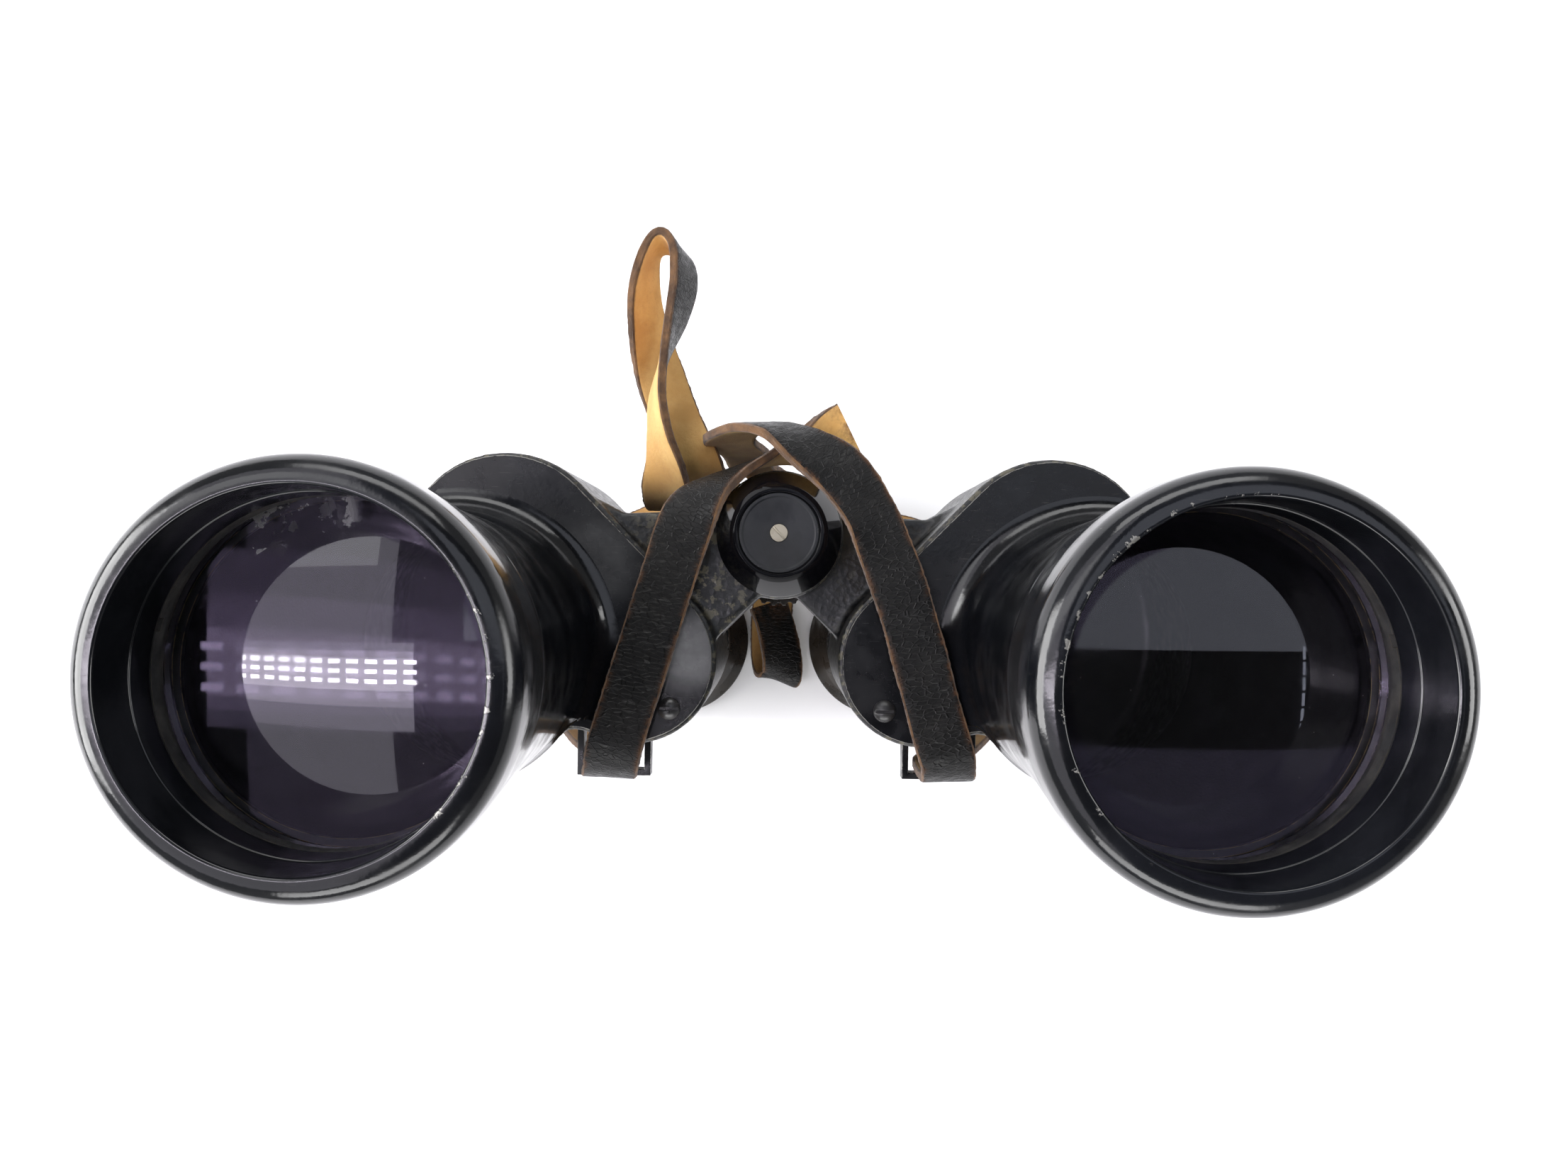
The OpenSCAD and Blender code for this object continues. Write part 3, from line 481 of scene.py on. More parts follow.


# Where the covers are painted lighter grey, partly rubbed enamel and partly painted sheen: middle, reach and strength
RUB_AND_SHEEN_SPOTS = (
    (spot(EYE, -1, 11, 2, "left_front_cover"), 10 * MM, 0.7),
    (spot(EYE, -1, -7, 20, "left_front_cover"), 13 * MM, 0.16),
    (spot(EYE, 1, 14, 18, "left_front_cover"), 12 * MM, 0.05))
HOUSING = crackle("cast_enamel")
COVER = enamel("cover_enamel", rough=0.24, dust=0.3, wear=0.9, tint=(0.003, 0.0032, 0.004), shine=0.3,
               rubbed=RUB_AND_SHEEN_SPOTS)
GLOSS = enamel("gloss_enamel", rough=0.14, dust=0.13, wear=0.5, shine=0.44)
CAP = enamel("cap_enamel", rough=0.08, dust=0.05, wear=0.3, grain=0.002, tint=(0.0015, 0.0015, 0.002),
             shine=0.12)
DISC = enamel("disc_enamel", rough=0.4, dust=0.0, wear=0.3, grain=0.03, tint=(0.004, 0.0045, 0.0055),
              shine=0.36)
ARM = enamel("arm_enamel", rough=0.3, dust=0.4, wear=0.7)
SCREW = blackened("screw_steel", 0.3, (0.035, 0.033, 0.03))
BLACK_BRASS = blackened("blackened_brass")
DUSTY_RING = blackened("dusty_ring", 0.6, (0.2, 0.15, 0.07))
BRASS = metal("bright_brass", (0.62, 0.47, 0.2), 0.28)
NICKEL = metal("cap_screw_nickel", (0.36, 0.33, 0.26), 0.34, (0.12, 0.1, 0.07))
STEEL = metal("axle_steel", (0.5, 0.5, 0.5), 0.25)
SPRING = metal("spring_steel", (0.5, 0.47, 0.4), 0.3)
# The objective's grey tint (0.62, 0.61, 0.65) darkens the view into the tube: a faint tint of the glass, deepened into
# painted shade of the dark inside
FRONT_GLASS = glass("coated_glass", (0.62, 0.61, 0.65), (0.42, 0.37, 0.5), core=(0.97, 0.96, 1.0),
                    spoilt=spot(OBJECTIVE, -1, -7, 22, "left_objective_lens"))
CLEAR_GLASS = glass("clear_glass", (0.97, 0.98, 0.97), (1.0, 1.0, 1.0))
DULL = dull("dull_black")
BAKELITE = bakelite("bakelite")
GRAIN = leather_grain("strap_grain")
FLESH = leather_flesh("strap_flesh")
EDGE = leather_edge("strap_edge")


# ------------------------------------------------------------------ pieces
def piece(name, verts, faces, materials, bodies, replaced, slot, marks=None, sharp=40):
    """Links a finished mesh, shades it and ties it to its CAD body and nodes."""
    mesh = bpy.data.meshes.new(name)
    mesh.from_pydata([tuple(v) for v in verts], [], faces)
    mesh.update()
    return finished(name, mesh, materials, bodies, replaced, slot, marks, sharp)


def finished(name, mesh, materials, bodies, replaced, slot, marks=None, sharp=40):
    for key, values in (marks or {}).items():
        values = np.asarray(values, np.float32)
        kind = "FLOAT" if values.ndim == 1 else "FLOAT_VECTOR"
        layer = mesh.attributes.new(key, kind, "POINT")
        layer.data.foreach_set("value" if kind == "FLOAT" else "vector", values.ravel())
    mesh.shade_smooth()
    mesh.set_sharp_from_angle(angle=math.radians(sharp))
    mesh.materials.clear()
    for material in materials:
        mesh.materials.append(material)
    made = bpy.data.objects.new(name, mesh)
    bpy.context.scene.collection.objects.link(made)
    if bodies:
        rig.ride(made, bodies)
    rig.replaces(made, *replaced)
    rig.slot(made, slot)
    return made


def placed(points, side=1):
    """Points of the right half, about the hinge, put in the row frame or mirrored to the left."""
    points = np.array(points, float)
    points[:, 0] = points[:, 0] * side + HINGE[0]
    points[:, 1] += HINGE[1]
    return points


def facing(faces, side):
    return [f[::-1] for f in faces] if side < 0 else faces


def grid_faces(rows, columns, wrap_rows=True, wrap_columns=True):
    """Quads over a grid of points that is stored row by row."""
    faces = []
    for i in range(rows if wrap_rows else rows - 1):
        for j in range(columns if wrap_columns else columns - 1):
            k, m = (i + 1) % rows, (j + 1) % columns
            faces.append((i * columns + j, k * columns + j, k * columns + m, i * columns + m))
    return faces


def rounded(corners, step=15):
    """A closed profile of (radius, height, fillet) corners, each turned into an arc."""
    points = []
    count = len(corners)
    for i, (x, z, fillet) in enumerate(corners):
        here = Vector((x, z))
        if fillet <= 0:
            points.append(here)
            continue
        before = (Vector(corners[i - 1][:2]) - here).normalized()
        after = (Vector(corners[(i + 1) % count][:2]) - here).normalized()
        half = before.angle(after) / 2
        reach = fillet / math.tan(half)
        middle = here + (before + after).normalized() * (fillet / math.sin(half))
        start, end = here + before * reach - middle, here + after * reach - middle
        turn = start.angle_signed(end)
        steps = max(2, math.ceil(abs(math.degrees(turn)) / step))
        for k in range(steps + 1):
            a = -turn * k / steps
            points.append(middle + Vector((start.x * math.cos(a) - start.y * math.sin(a),
                                           start.x * math.sin(a) + start.y * math.cos(a))))
    return np.array([(p.x, p.y) for p in points])


def lathe(profile, axis, steps=256):
    """Turns a closed profile about an upright axis. Points on the axis are merged later."""
    angles = np.linspace(0, 2 * math.pi, steps, endpoint=False)
    verts = np.empty((steps, len(profile), 3))
    verts[:, :, 0] = axis[0] + np.outer(np.cos(angles), profile[:, 0])
    verts[:, :, 1] = axis[1] + np.outer(np.sin(angles), profile[:, 0])
    verts[:, :, 2] = profile[:, 1]
    return verts.reshape(-1, 3), grid_faces(steps, len(profile))


def fuzz(points, scale, seed=0.0):
    """Smooth noise from -1 to 1 at each point."""
    shift = Vector((seed, 2 * seed, 3 * seed))
    return np.array([noise.noise(Vector(p) * scale + shift) for p in points])



# ------------------------------------------------------------------ strap
# The way of its middle line, about the hinge axis: point, direction of the width
TAIL_ROUTE = [
    ((0.014, 0.0225, 0.0876), (-0.6, 0.8, 0)),
    ((0.0085, 0.0198, 0.088), (-0.5, 0.65, 0.55)),
    ((0.003, 0.0177, 0.0896), (-0.2, 0.3, 0.93)),
    ((-0.0025, 0.0157, 0.0905), (0, 0, 1)),
    ((-0.009, 0.0125, 0.0935), (0.2, -0.15, 0.97)),
    ((-0.0135, 0.0093, 0.097), (0.5, -0.25, 0.8)),
    ((-0.016, 0.0063, 0.0994), (0.8, -0.3, 0.45)),
    ((-0.0185, 0.001, 0.1004), (0.96, -0.28, 0.1)),
    ((-0.022, -0.01, 0.1002), (0.96, -0.29, 0)),
    ((-0.0265, -0.025, 0.1002), (0.96, -0.29, 0)),
    ((-0.0305, -0.038, 0.1002), (0.96, -0.29, 0)),
    ((-0.0322, -0.044, 0.0988), (0.97, -0.2, 0)),
    ((-0.0332, -0.0476, 0.095), (1, -0.1, 0)),
    ((-0.0342, -0.0488, 0.09), (1, 0, 0)),
    ((-0.035, -0.049, 0.082), (1, 0, 0)),
]
CLIMB_ROUTE = [
    ((-0.0354, -0.049, 0.072), (1, 0, -0.05)),
    ((-0.0372, -0.0492, 0.062), (0.97, 0, -0.25)),
    ((-0.042, -0.0492, 0.048), (0.95, 0, -0.35)),
    ((-0.0485, -0.048, 0.032), (0.95, -0.1, -0.3)),
    ((-0.0555, -0.0425, 0.015), (0.97, -0.15, -0.15)),
    ((-0.0588, -0.033, 0.004), (0.99, -0.15, 0)),
    ((-0.0596, -0.023, 0.0013), (1, -0.05, 0)),
    ((-0.0582, -0.0125, 0.0013), (0.95, -0.3, 0)),
    ((-0.0525, -0.004, 0.0013), (0.75, -0.65, 0)),
    ((-0.0445, 0.0024, 0.0013), (0.45, -0.9, 0)),
    ((-0.036, 0.0064, 0.0024), (0.3, -0.95, 0)),
    ((-0.0295, 0.0086, 0.009), (0.25, -0.97, 0)),
    ((-0.0263, 0.009, 0.02), (0.35, -0.93, 0)),
    ((-0.025, 0.0086, 0.034), (0.65, -0.75, 0)),
    ((-0.0246, 0.0082, 0.048), (0.9, -0.4, 0)),
    ((-0.0245, 0.0076, 0.061), (1, 0, 0)),
    ((-0.0245, 0.0076, 0.07), (1, 0, 0.1)),
    ((-0.0243, 0.0094, 0.077), (0.95, -0.1, 0.3)),
]
LOOP_ROUTE = [
    ((-0.0242, 0.014, 0.0813), (0.75, -0.1, 0.6)),
    ((-0.0254, 0.021, 0.083), (0.45, 0, 0.85)),
    ((-0.026, 0.029, 0.0835), (0.3, 0, 0.95)),
    ((-0.0244, 0.038, 0.084), (0.08, 0, 1)),
    ((-0.022, 0.046, 0.0845), (-0.2, 0.05, 0.97)),
    ((-0.0206, 0.053, 0.085), (-0.35, 0.05, 0.93)),
    ((-0.0214, 0.0586, 0.085), (-0.3, 0.15, 0.93)),
    ((-0.0246, 0.0614, 0.0845), (-0.2, 0.2, 0.95)),
    ((-0.028, 0.0588, 0.0835), (-0.2, -0.2, 0.95)),
    ((-0.0294, 0.052, 0.0805), (-0.4, -0.1, 0.9)),
    ((-0.0288, 0.044, 0.0765), (-0.6, -0.1, 0.75)),
    ((-0.0264, 0.035, 0.0735), (-0.85, -0.25, 0.4)),
    ((-0.023, 0.026, 0.0744), (-0.93, -0.3, 0.15)),
    ((-0.0196, 0.0186, 0.077), (-0.95, -0.25, 0.1)),
    ((-0.0178, 0.015, 0.0754), (-1, -0.1, 0)),
    ((-0.0174, 0.0138, 0.069), (-1, 0, 0)),
    ((-0.0172, 0.014, 0.06), (-1, 0, 0)),
    ((-0.017, 0.014, 0.046), (-0.9, -0.4, 0)),
    ((-0.0166, 0.0136, 0.032), (-0.65, -0.75, 0)),
    ((-0.0156, 0.013, 0.019), (-0.35, -0.93, 0)),
    ((-0.0126, 0.0124, 0.0085), (-0.15, -0.98, 0)),
    ((-0.0064, 0.0122, 0.0019), (0, -1, 0)),
    ((-0.002, 0.012, 0.0014), (0, -1, 0)),
]
RIGHT_ROUTE = [
    ((0.016, 0.0064, 0.0013), (0.1, -1, 0)),
    ((0.028, 0.0056, 0.0013), (-0.1, -0.99, 0)),
    ((0.04, 0.003, 0.0013), (-0.4, -0.92, 0)),
    ((0.0505, -0.0035, 0.0013), (-0.75, -0.65, 0)),
    ((0.0576, -0.013, 0.0013), (-0.95, -0.3, 0)),
    ((0.0596, -0.023, 0.0013), (-1, -0.05, 0)),
    ((0.0588, -0.033, 0.004), (-0.99, -0.15, 0)),
    ((0.0555, -0.0425, 0.015), (-0.97, -0.15, -0.15)),
    ((0.0485, -0.048, 0.032), (-0.95, -0.1, -0.3)),
    ((0.042, -0.0492, 0.048), (-0.95, 0, -0.35)),
    ((0.0372, -0.0492, 0.062), (-0.97, 0, -0.25)),
    ((0.0354, -0.049, 0.072), (-1, 0, -0.05)),
    ((0.035, -0.049, 0.082), (-1, 0, 0)),
    ((0.0348, -0.0488, 0.09), (-1, 0, 0)),
    ((0.0345, -0.0476, 0.095), (-1, -0.1, 0)),
    ((0.0338, -0.044, 0.0988), (-0.97, -0.25, 0)),
    ((0.0318, -0.038, 0.1002), (-0.95, -0.3, 0)),
    ((0.0284, -0.026, 0.1002), (-0.95, -0.3, 0)),
    ((0.0246, -0.013, 0.1002), (-0.95, -0.3, 0)),
    ((0.0206, -0.0024, 0.1004), (-0.93, -0.38, 0.05)),
    ((0.0176, 0.0044, 0.1006), (-0.85, -0.45, 0.3)),
]
CREST_ROUTE = [
    ((-0.003, 0.022, 0.092), (-0.1, -0.3, 0.95)),
    ((-0.007, 0.0216, 0.0875), (-0.5, -0.1, 0.85)),
    ((-0.0084, 0.0216, 0.081), (-0.85, 0, 0.5)),
    ((-0.0078, 0.0212, 0.072), (-0.97, 0, 0.15)),
    ((-0.0078, 0.02, 0.06), (-1, 0, 0)),
    ((-0.007, 0.0188, 0.046), (-1, 0, 0)),
    ((-0.0046, 0.0188, 0.032), (-1, 0, 0)),
    ((-0.0024, 0.018, 0.018), (-1, 0, 0)),
    ((-0.001, 0.015, 0.0085), (-1, 0, 0)),
    ((0, 0.009, 0.0046), (-1, 0, 0)),
    ((0, 0, 0.003), (-1, 0, 0)),
    ((-0.0012, -0.01, 0.0016), (-1, 0, 0)),
    ((-0.0022, -0.021, 0.0014), (-1, 0.05, 0)),
    ((-0.002, -0.03, 0.002), (-0.97, 0.2, 0)),
    ((-0.0006, -0.0348, 0.0042), (-0.93, 0.35, 0)),
    ((0.001, -0.0346, 0.0072), (-0.93, 0.3, 0.15)),
    ((0.001, -0.0295, 0.0086), (-0.93, -0.05, 0.35)),
    ((-0.0006, -0.022, 0.008), (-0.9, -0.2, 0.4)),
    ((-0.003, -0.015, 0.0074), (-0.88, -0.25, 0.4)),
]
# Where the right end climbs over the hinge cap and curls down behind it
OVER_HINGE = [
    ((0.0124, 0.0118, 0.1007), (-0.86, -0.48, 0.2)),
    ((0.0052, 0.0172, 0.099), (-0.66, -0.5, 0.56)),
    ((-0.0006, 0.0208, 0.0964), (-0.35, -0.3, 0.88)),
    ((-0.0058, 0.0218, 0.0925), (-0.4, -0.1, 0.9)),
    ((-0.0098, 0.0212, 0.0865), (-0.62, -0.05, 0.78)),
    ((-0.0108, 0.0206, 0.078), (-0.85, 0, 0.5)),
]
CREST_START = 4
STRAP_WIDTH = 11 * MM
STRAP_THICK = 2 * MM
STRAP_LENGTH = 0.96


def strap_line(spacing=0.7 * MM):
    """Evenly spaced points and width directions on one smooth curve through all five routes."""
    rows = TAIL_ROUTE + CLIMB_ROUTE + LOOP_ROUTE + RIGHT_ROUTE + OVER_HINGE + CREST_ROUTE[CREST_START:]
    knots = np.array([[*point, *width] for point, width in rows])
    padded = np.vstack([2 * knots[0] - knots[1], knots, 2 * knots[-1] - knots[-2]])
    dense = []
    for k in range(1, len(padded) - 2):
        a, b, c, d = padded[k - 1], padded[k], padded[k + 1], padded[k + 2]
        for t in np.linspace(0, 1, 24, endpoint=False):
            dense.append(0.5 * (2 * b + (c - a) * t + (2 * a - 5 * b + 4 * c - d) * t * t
                                + (3 * b - a - 3 * c + d) * t ** 3))
    dense = np.array(dense + [knots[-1]])
    run = np.concatenate([[0], np.cumsum(np.linalg.norm(np.diff(dense[:, :3], axis=0), axis=1))])
    even = np.linspace(0, run[-1], int(run[-1] / spacing) + 1)
    return np.stack([np.interp(even, run, dense[:, k]) for k in range(6)], axis=1), even


def unit(rows):
    return rows / np.linalg.norm(rows, axis=1)[:, None]


def smooth_rows(rows, passes):
    for _ in range(passes):
        rows[1:-1] = (rows[:-2] + 2 * rows[1:-1] + rows[2:]) / 4
    return rows


def make_strap():
    line, run = strap_line()
    middle = placed(line[:, :3])
    ahead = unit(smooth_rows(np.gradient(middle, axis=0), 4))
    width = smooth_rows(line[:, 3:], 6)
    width = unit(width - (width * ahead).sum(1)[:, None] * ahead)
    up = np.cross(ahead, width)
    half_w, half_t, corner = STRAP_WIDTH / 2, STRAP_THICK / 2, 0.35 * MM
    across = np.linspace(half_w - corner, corner - half_w, 17)
    crown = half_t - 0.12 * MM * (across / half_w) ** 4
    turn = np.linspace(half_t - corner, corner - half_t, 6)
    section = [(v, n, 0) for v, n in zip(across, crown)]
    section += [(-half_w, n, 1) for n in turn]
    section += [(-v, -n, 2) for v, n in zip(across, crown)]
    section += [(half_w, -n, 1) for n in turn]
    section = np.array(section)
    count, sides = len(middle), len(section)
    sway = np.array([noise.noise(Vector((s * 90, 0.3, 7.1))) for s in run]) * 0.25 * MM
    across_by = section[None, :, 0:1] * (1 + sway[:, None, None] / half_w)
    verts = middle[:, None, :] + width[:, None, :] * across_by + up[:, None, :] * section[None, :, 1:2]
    place = np.empty((count, sides, 3))
    place[:, :, 0] = run[:, None]
    place[:, :, 1] = section[None, :, 0]
    place[:, :, 2] = section[None, :, 1]
    flat = place.reshape(-1, 3)
    kind = np.tile(section[:, 2], count)
    coarse, fine = fuzz(flat, 1900, 1.0), fuzz(flat, 5200, 2.0)
    lift = np.where(kind == 1, 0.16 * coarse + 0.1 * fine, 0)
    creases = fuzz(flat * np.array([2.2, 0.6, 1.0]), 700, 3.0) * np.clip(fuzz(flat, 35, 4.0) + 0.35, 0, 1)
    lift = np.where(kind == 0, 0.11 * creases, lift)
    lift = np.where(kind == 2, 0.05 * coarse + 0.03 * fine, lift)
    outward = width[:, None, :] * section[None, :, 0:1] / half_w * (section[None, :, 2:3] == 1)
    outward = outward + up[:, None, :] * np.sign(section[None, :, 1:2]) * (section[None, :, 2:3] != 1)
    verts = verts + outward * lift.reshape(count, sides, 1) * MM
    rim = np.clip((np.abs(section[:, 0]) - (half_w - 1.1 * MM)) / (1.1 * MM), 0, 1)
    start, stop = np.exp(-run / (2.5 * MM)), np.exp(-(run[-1] - run) / (2.5 * MM))
    rim = np.maximum(rim[None, :], np.maximum(start, stop)[:, None])
    # Painted shade: the flesh side is darkened low down under the body, and only a little on the parts high up
    low_shade = np.interp(middle[:, 1], [0.06, 0.09], [0.75, 0.0])
    low_shade = low_shade * np.interp(middle[:, 2], [0.06, 0.09], [1, 0.15])
    soiled = np.repeat(low_shade, sides)
    faces = grid_faces(count, sides, wrap_rows=False)
    last = (count - 1) * sides
    faces += [tuple(range(sides))[::-1], tuple(range(last, last + sides))]
    made = piece("strap", verts.reshape(-1, 3), faces, (GRAIN, EDGE, FLESH), None,
                 ("strap_left", "strap_loop", "strap_crest", "strap_right"), "strap_leather",
                 {"along": flat, "rim": rim.ravel(), "soiled": soiled}, sharp=50)
    kinds = section[:, 2].astype(int)
    for polygon in made.data.polygons:
        if polygon.index >= (count - 1) * sides:
            polygon.material_index = 1
            continue
        j = polygon.index % sides
        a, b = kinds[j], kinds[(j + 1) % sides]
        polygon.material_index = a if a == b else 1
    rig.blend(made, "left_half", "right_half", start=(-0.034, HINGE[1], 0), end=(0.034, HINGE[1], 0))
    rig.cord(made, exit=middle[0], length=STRAP_LENGTH, diameter=STRAP_WIDTH, far_end="bare",
            stiffness="medium", lay="loose", path=[tuple(p) for p in middle[::8]] + [tuple(middle[-1])])
    return made


make_strap()


# ------------------------------------------------------------------ turned pieces
def turned(name, profile, axis, material, replaced, slot, wear=None, lumps=0.0, steps=256, sharp=40):
    """A piece turned about an upright axis, with wear painted by place and slight unevenness."""
    verts, faces = lathe(profile, axis, steps)
    if lumps:
        verts[:, 2] += fuzz(verts, 120, 5.0) * lumps
    marks = {"wear": wear(verts) if wear else np.zeros(len(verts))}
    return piece(name, verts, faces, (material,), body_of(replaced[0]), replaced, slot, marks, sharp)


def near(values, target, reach):
    """1 where a value is at the target, falling to 0 at the reach."""
    return np.clip(1 - np.abs(values - target) / reach, 0, 1)


def side_axis(place, side):
    return HINGE + place * np.array([side, 1])


def hood(name, side):
    """Hood ring: rounded lip, funnel towards the glass, stepped inside, plain band and shoulder outside."""
    node = f"{name}_hood"
    z0, z1 = low(node), high(node)
    rim = (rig.box(node)[1].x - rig.box(node)[0].x) / 2
    glass_top = high(f"{name}_retaining_ring")
    profile = rounded([
        (rim - 2.6 * MM, z0, 0), (rim - 1.1 * MM, z0, 0.35 * MM), (rim - 0.9 * MM, z1 - 13 * MM, 2 * MM),
        (rim, z1 - 9 * MM, 3 * MM), (rim, z1, 3.8 * MM), (rim - 4.4 * MM, z1, 0.5 * MM),
        (rim - 4.5 * MM, z1 - 4.2 * MM, 1.2 * MM), (rim - 4.5 * MM, z1 - 8.5 * MM, 0.25 * MM),
        (rim - 4.75 * MM, z1 - 8.6 * MM, 0.2 * MM), (rim - 4.8 * MM, glass_top + 0.4 * MM, 0.3 * MM),
        (rim - 2.6 * MM, glass_top + 0.4 * MM, 0)], step=10)
    axis = side_axis(OBJECTIVE, side)

    def wear(p):
        radius = np.hypot(p[:, 0] - axis[0], p[:, 1] - axis[1])
        angle = np.arctan2(p[:, 1] - axis[1], p[:, 0] - axis[0])
        worst = math.radians(-10 if side < 0 else 150)
        most = np.clip(1.5 * np.cos((angle - worst + math.pi) % (2 * math.pi) - math.pi) - 0.1, 0.12, 1.3)
        lip = near(radius, rim - 4.1 * MM, 1.2 * MM) * near(p[:, 2], z1, 1.3 * MM) * most
        outer = near(radius, rim - 0.3 * MM, 0.9 * MM) * near(p[:, 2], z1 - 2 * MM, 2 * MM) * 0.8
        return np.maximum(lip, outer * np.clip(np.sin(angle), 0.2, 0.75))

    turned(f"{name}_hood_ring", profile, axis, GLOSS, (node,), "gloss_enamel", wear, 0.03 * MM, 384)


def barrel(name, side):
    """Objective tube whose trumpet foot runs out into the cover and is trimmed by the cover's edge."""
    node = f"{name}_barrel"
    z0, z1 = high(f"{name}_front_cover"), high(node)
    bore_r, root_r, cell_r = 26.4 * MM, 19 * MM, 26.42 * MM
    waist, neck = 26.3 * MM, 27.38 * MM
    flare_w, flare_h = 5.8 * MM, 8.5 * MM
    hood_z = low(f"{name}_hood")
    cell_z = low(f"{name}_lens_cell")
    bends = np.radians(np.linspace(89, 0, 30))
    rows = [(root_r, z0)]
    rows += [(waist + flare_w * (1 - math.cos(a)), z0 + flare_h * (1 - math.sin(a))) for a in bends]
    rows += [(waist + 0.35 * MM, z0 + 20 * MM), (neck + 0.35 * MM, hood_z - 7 * MM)]
    rows += [(neck + 0.75 * MM, hood_z - 6.4 * MM), (neck + 0.8 * MM, hood_z - 2.4 * MM)]
    rows += [(neck + 0.4 * MM, hood_z - 1.6 * MM)]
    rows += [(neck, hood_z - 1.2 * MM), (neck, z1), (bore_r, z1), (cell_r, cell_z - 0.4 * MM)]
    rows += [(root_r + 5 * MM, z0 + 40 * MM), (root_r + 1 * MM, z0 + 12 * MM), (root_r, z0 + 5 * MM)]
    profile = np.array(rows)
    steps = 320
    axis = np.array(OBJECTIVE)
    verts, faces = lathe(profile, axis, steps)
    edge = outline(-0.9 * MM)
    reach = np.array([np.hypot(*(edge - axis).T), np.arctan2(edge[:, 1] - axis[1], edge[:, 0] - axis[0])])
    for k in range(steps):
        angle = 2 * math.pi * k / steps
        gap = np.abs((reach[1] - angle + math.pi) % (2 * math.pi) - math.pi)
        limit = reach[0][gap < 0.03].min()
        ring = verts[k * len(profile):(k + 1) * len(profile)]
        radius = profile[:, 0]
        climb = np.clip((profile[:, 1] - z0) / (9 * MM), 0, 1)
        allowed = limit + (climb ** 2 * (3 - 2 * climb)) * max(0.0, neck + 2 * MM - limit)
        outer = (profile[:, 1] < z0 + 9 * MM) & (radius > root_r + 2 * MM)
        radius = np.where(outer, np.minimum(radius, allowed), radius)
        ring[:, 0] = axis[0] + radius * math.cos(angle)
        ring[:, 1] = axis[1] + radius * math.sin(angle)
    verts = placed(verts, side)
    made = piece(f"{name}_objective_tube", verts, facing(faces, side), (GLOSS, DULL), body_of(node), (node,),
                 "gloss_enamel", {"wear": near(verts[:, 2], hood_z - 5 * MM, 2 * MM) * 0.4}, 35)
    inside = len(rows) - 5
    for polygon in made.data.polygons:
        if polygon.index % len(profile) >= inside:
            polygon.material_index = 1


# ------------------------------------------------------------------ cast and plate pieces
UPPER_LOBE = np.array([54.4, -5.1]) * MM
UPPER_R, EYE_R, SHOULDER_R, VALLEY_R = 20 * MM, 16.1 * MM, 24.5 * MM, 8 * MM


def heading(p, q):
    return math.atan2(q[1] - p[1], q[0] - p[0])


def arc(middle, radius, start, end, count):
    a = np.linspace(start, end, count)
    return np.stack([middle[0] + radius * np.cos(a), middle[1] + radius * np.sin(a)], axis=1)


def outline(grow):
    """Outline of the right prism housing about the hinge, grown sideways, always with as many points."""
    upper, eye, shoulder, valley = UPPER_R + grow, EYE_R + grow, SHOULDER_R + grow, VALLEY_R - grow

    def tangent(p, rp, q, rq):
        return heading(p, q) + math.acos((rp - rq) / np.linalg.norm(q - p))

    apart = np.linalg.norm(OBJECTIVE - EYE)
    ahead = (OBJECTIVE - EYE) / apart
    ra, rb = eye + valley, shoulder + valley
    s = (ra * ra - rb * rb + apart * apart) / (2 * apart)
    dip = EYE + s * ahead + math.sqrt(ra * ra - s * s) * np.array([ahead[1], -ahead[0]])
    edge = tangent(EYE, eye, UPPER_LOBE, upper)
    side = tangent(UPPER_LOBE, upper, OBJECTIVE, shoulder)
    turn = heading(EYE, dip) + 2 * math.pi
    back = heading(dip, EYE) if heading(dip, EYE) > 0 else heading(dip, EYE) + 2 * math.pi
    onward = heading(dip, OBJECTIVE)
    begin = heading(OBJECTIVE, dip)
    parts = [arc(EYE, eye, edge, turn, 72), arc(dip, valley, back, onward, 20),
             arc(OBJECTIVE, shoulder, begin if begin < side else begin - 2 * math.pi, side, 64),
             arc(UPPER_LOBE, upper, side, edge, 48)]
    points = []
    for k, run in enumerate(parts):
        points.extend(run)
        start, end = run[-1], parts[(k + 1) % 4][0]
        if np.linalg.norm(end - start) > 1 * MM:
            points.extend(start + (end - start) * t for t in np.linspace(0, 1, 40)[1:-1])
    return np.array(points)


for name, side in SIDES.items():
    hood(name, side)
    barrel(name, side)


# ------------------------------------------------------------------ pieces that keep the CAD shape
def cad_mesh(node):
    """The node's own triangles in the row frame, welded and joined back into flat faces."""
    source = frame["nodes"][node]
    mesh = bmesh.new()
    mesh.from_mesh(source.data)
    mesh.transform(source.matrix_world)
    bmesh.ops.remove_doubles(mesh, verts=mesh.verts, dist=0.004 * MM)
    bmesh.ops.dissolve_degenerate(mesh, edges=mesh.edges, dist=0.001 * MM)
    bmesh.ops.dissolve_limit(mesh, angle_limit=math.radians(1.5), verts=mesh.verts, edges=mesh.edges)
    return mesh


def machined(node, width, material, slot, segments=2, corner=32, worn=1.0):
    """The CAD shape again with rounded edges, which are marked as the places that wear."""
    mesh = cad_mesh(node)
    sharp = math.radians(corner)
    edges = [e for e in mesh.edges if len(e.link_faces) == 2 and e.calc_face_angle(0) > sharp]
    rounds = bmesh.ops.bevel(mesh, geom=edges, offset=width * MM, segments=segments, profile=0.5,
                             affect="EDGES", clamp_overlap=True)
    layer = mesh.verts.layers.float.new("wear")
    rounded_faces = set(rounds["faces"])
    for face in rounded_faces:
        for vert in face.verts:
            if all(linked in rounded_faces for linked in vert.link_faces):
                vert[layer] = worn
    made = bpy.data.meshes.new(node + "_finished")
    mesh.to_mesh(made)
    mesh.free()
    result = finished(node + "_finished", made, (material,), body_of(node), (node,), slot, sharp=50)
    weighted = result.modifiers.new("weighted", "WEIGHTED_NORMAL")
    weighted.keep_sharp = True
    return result


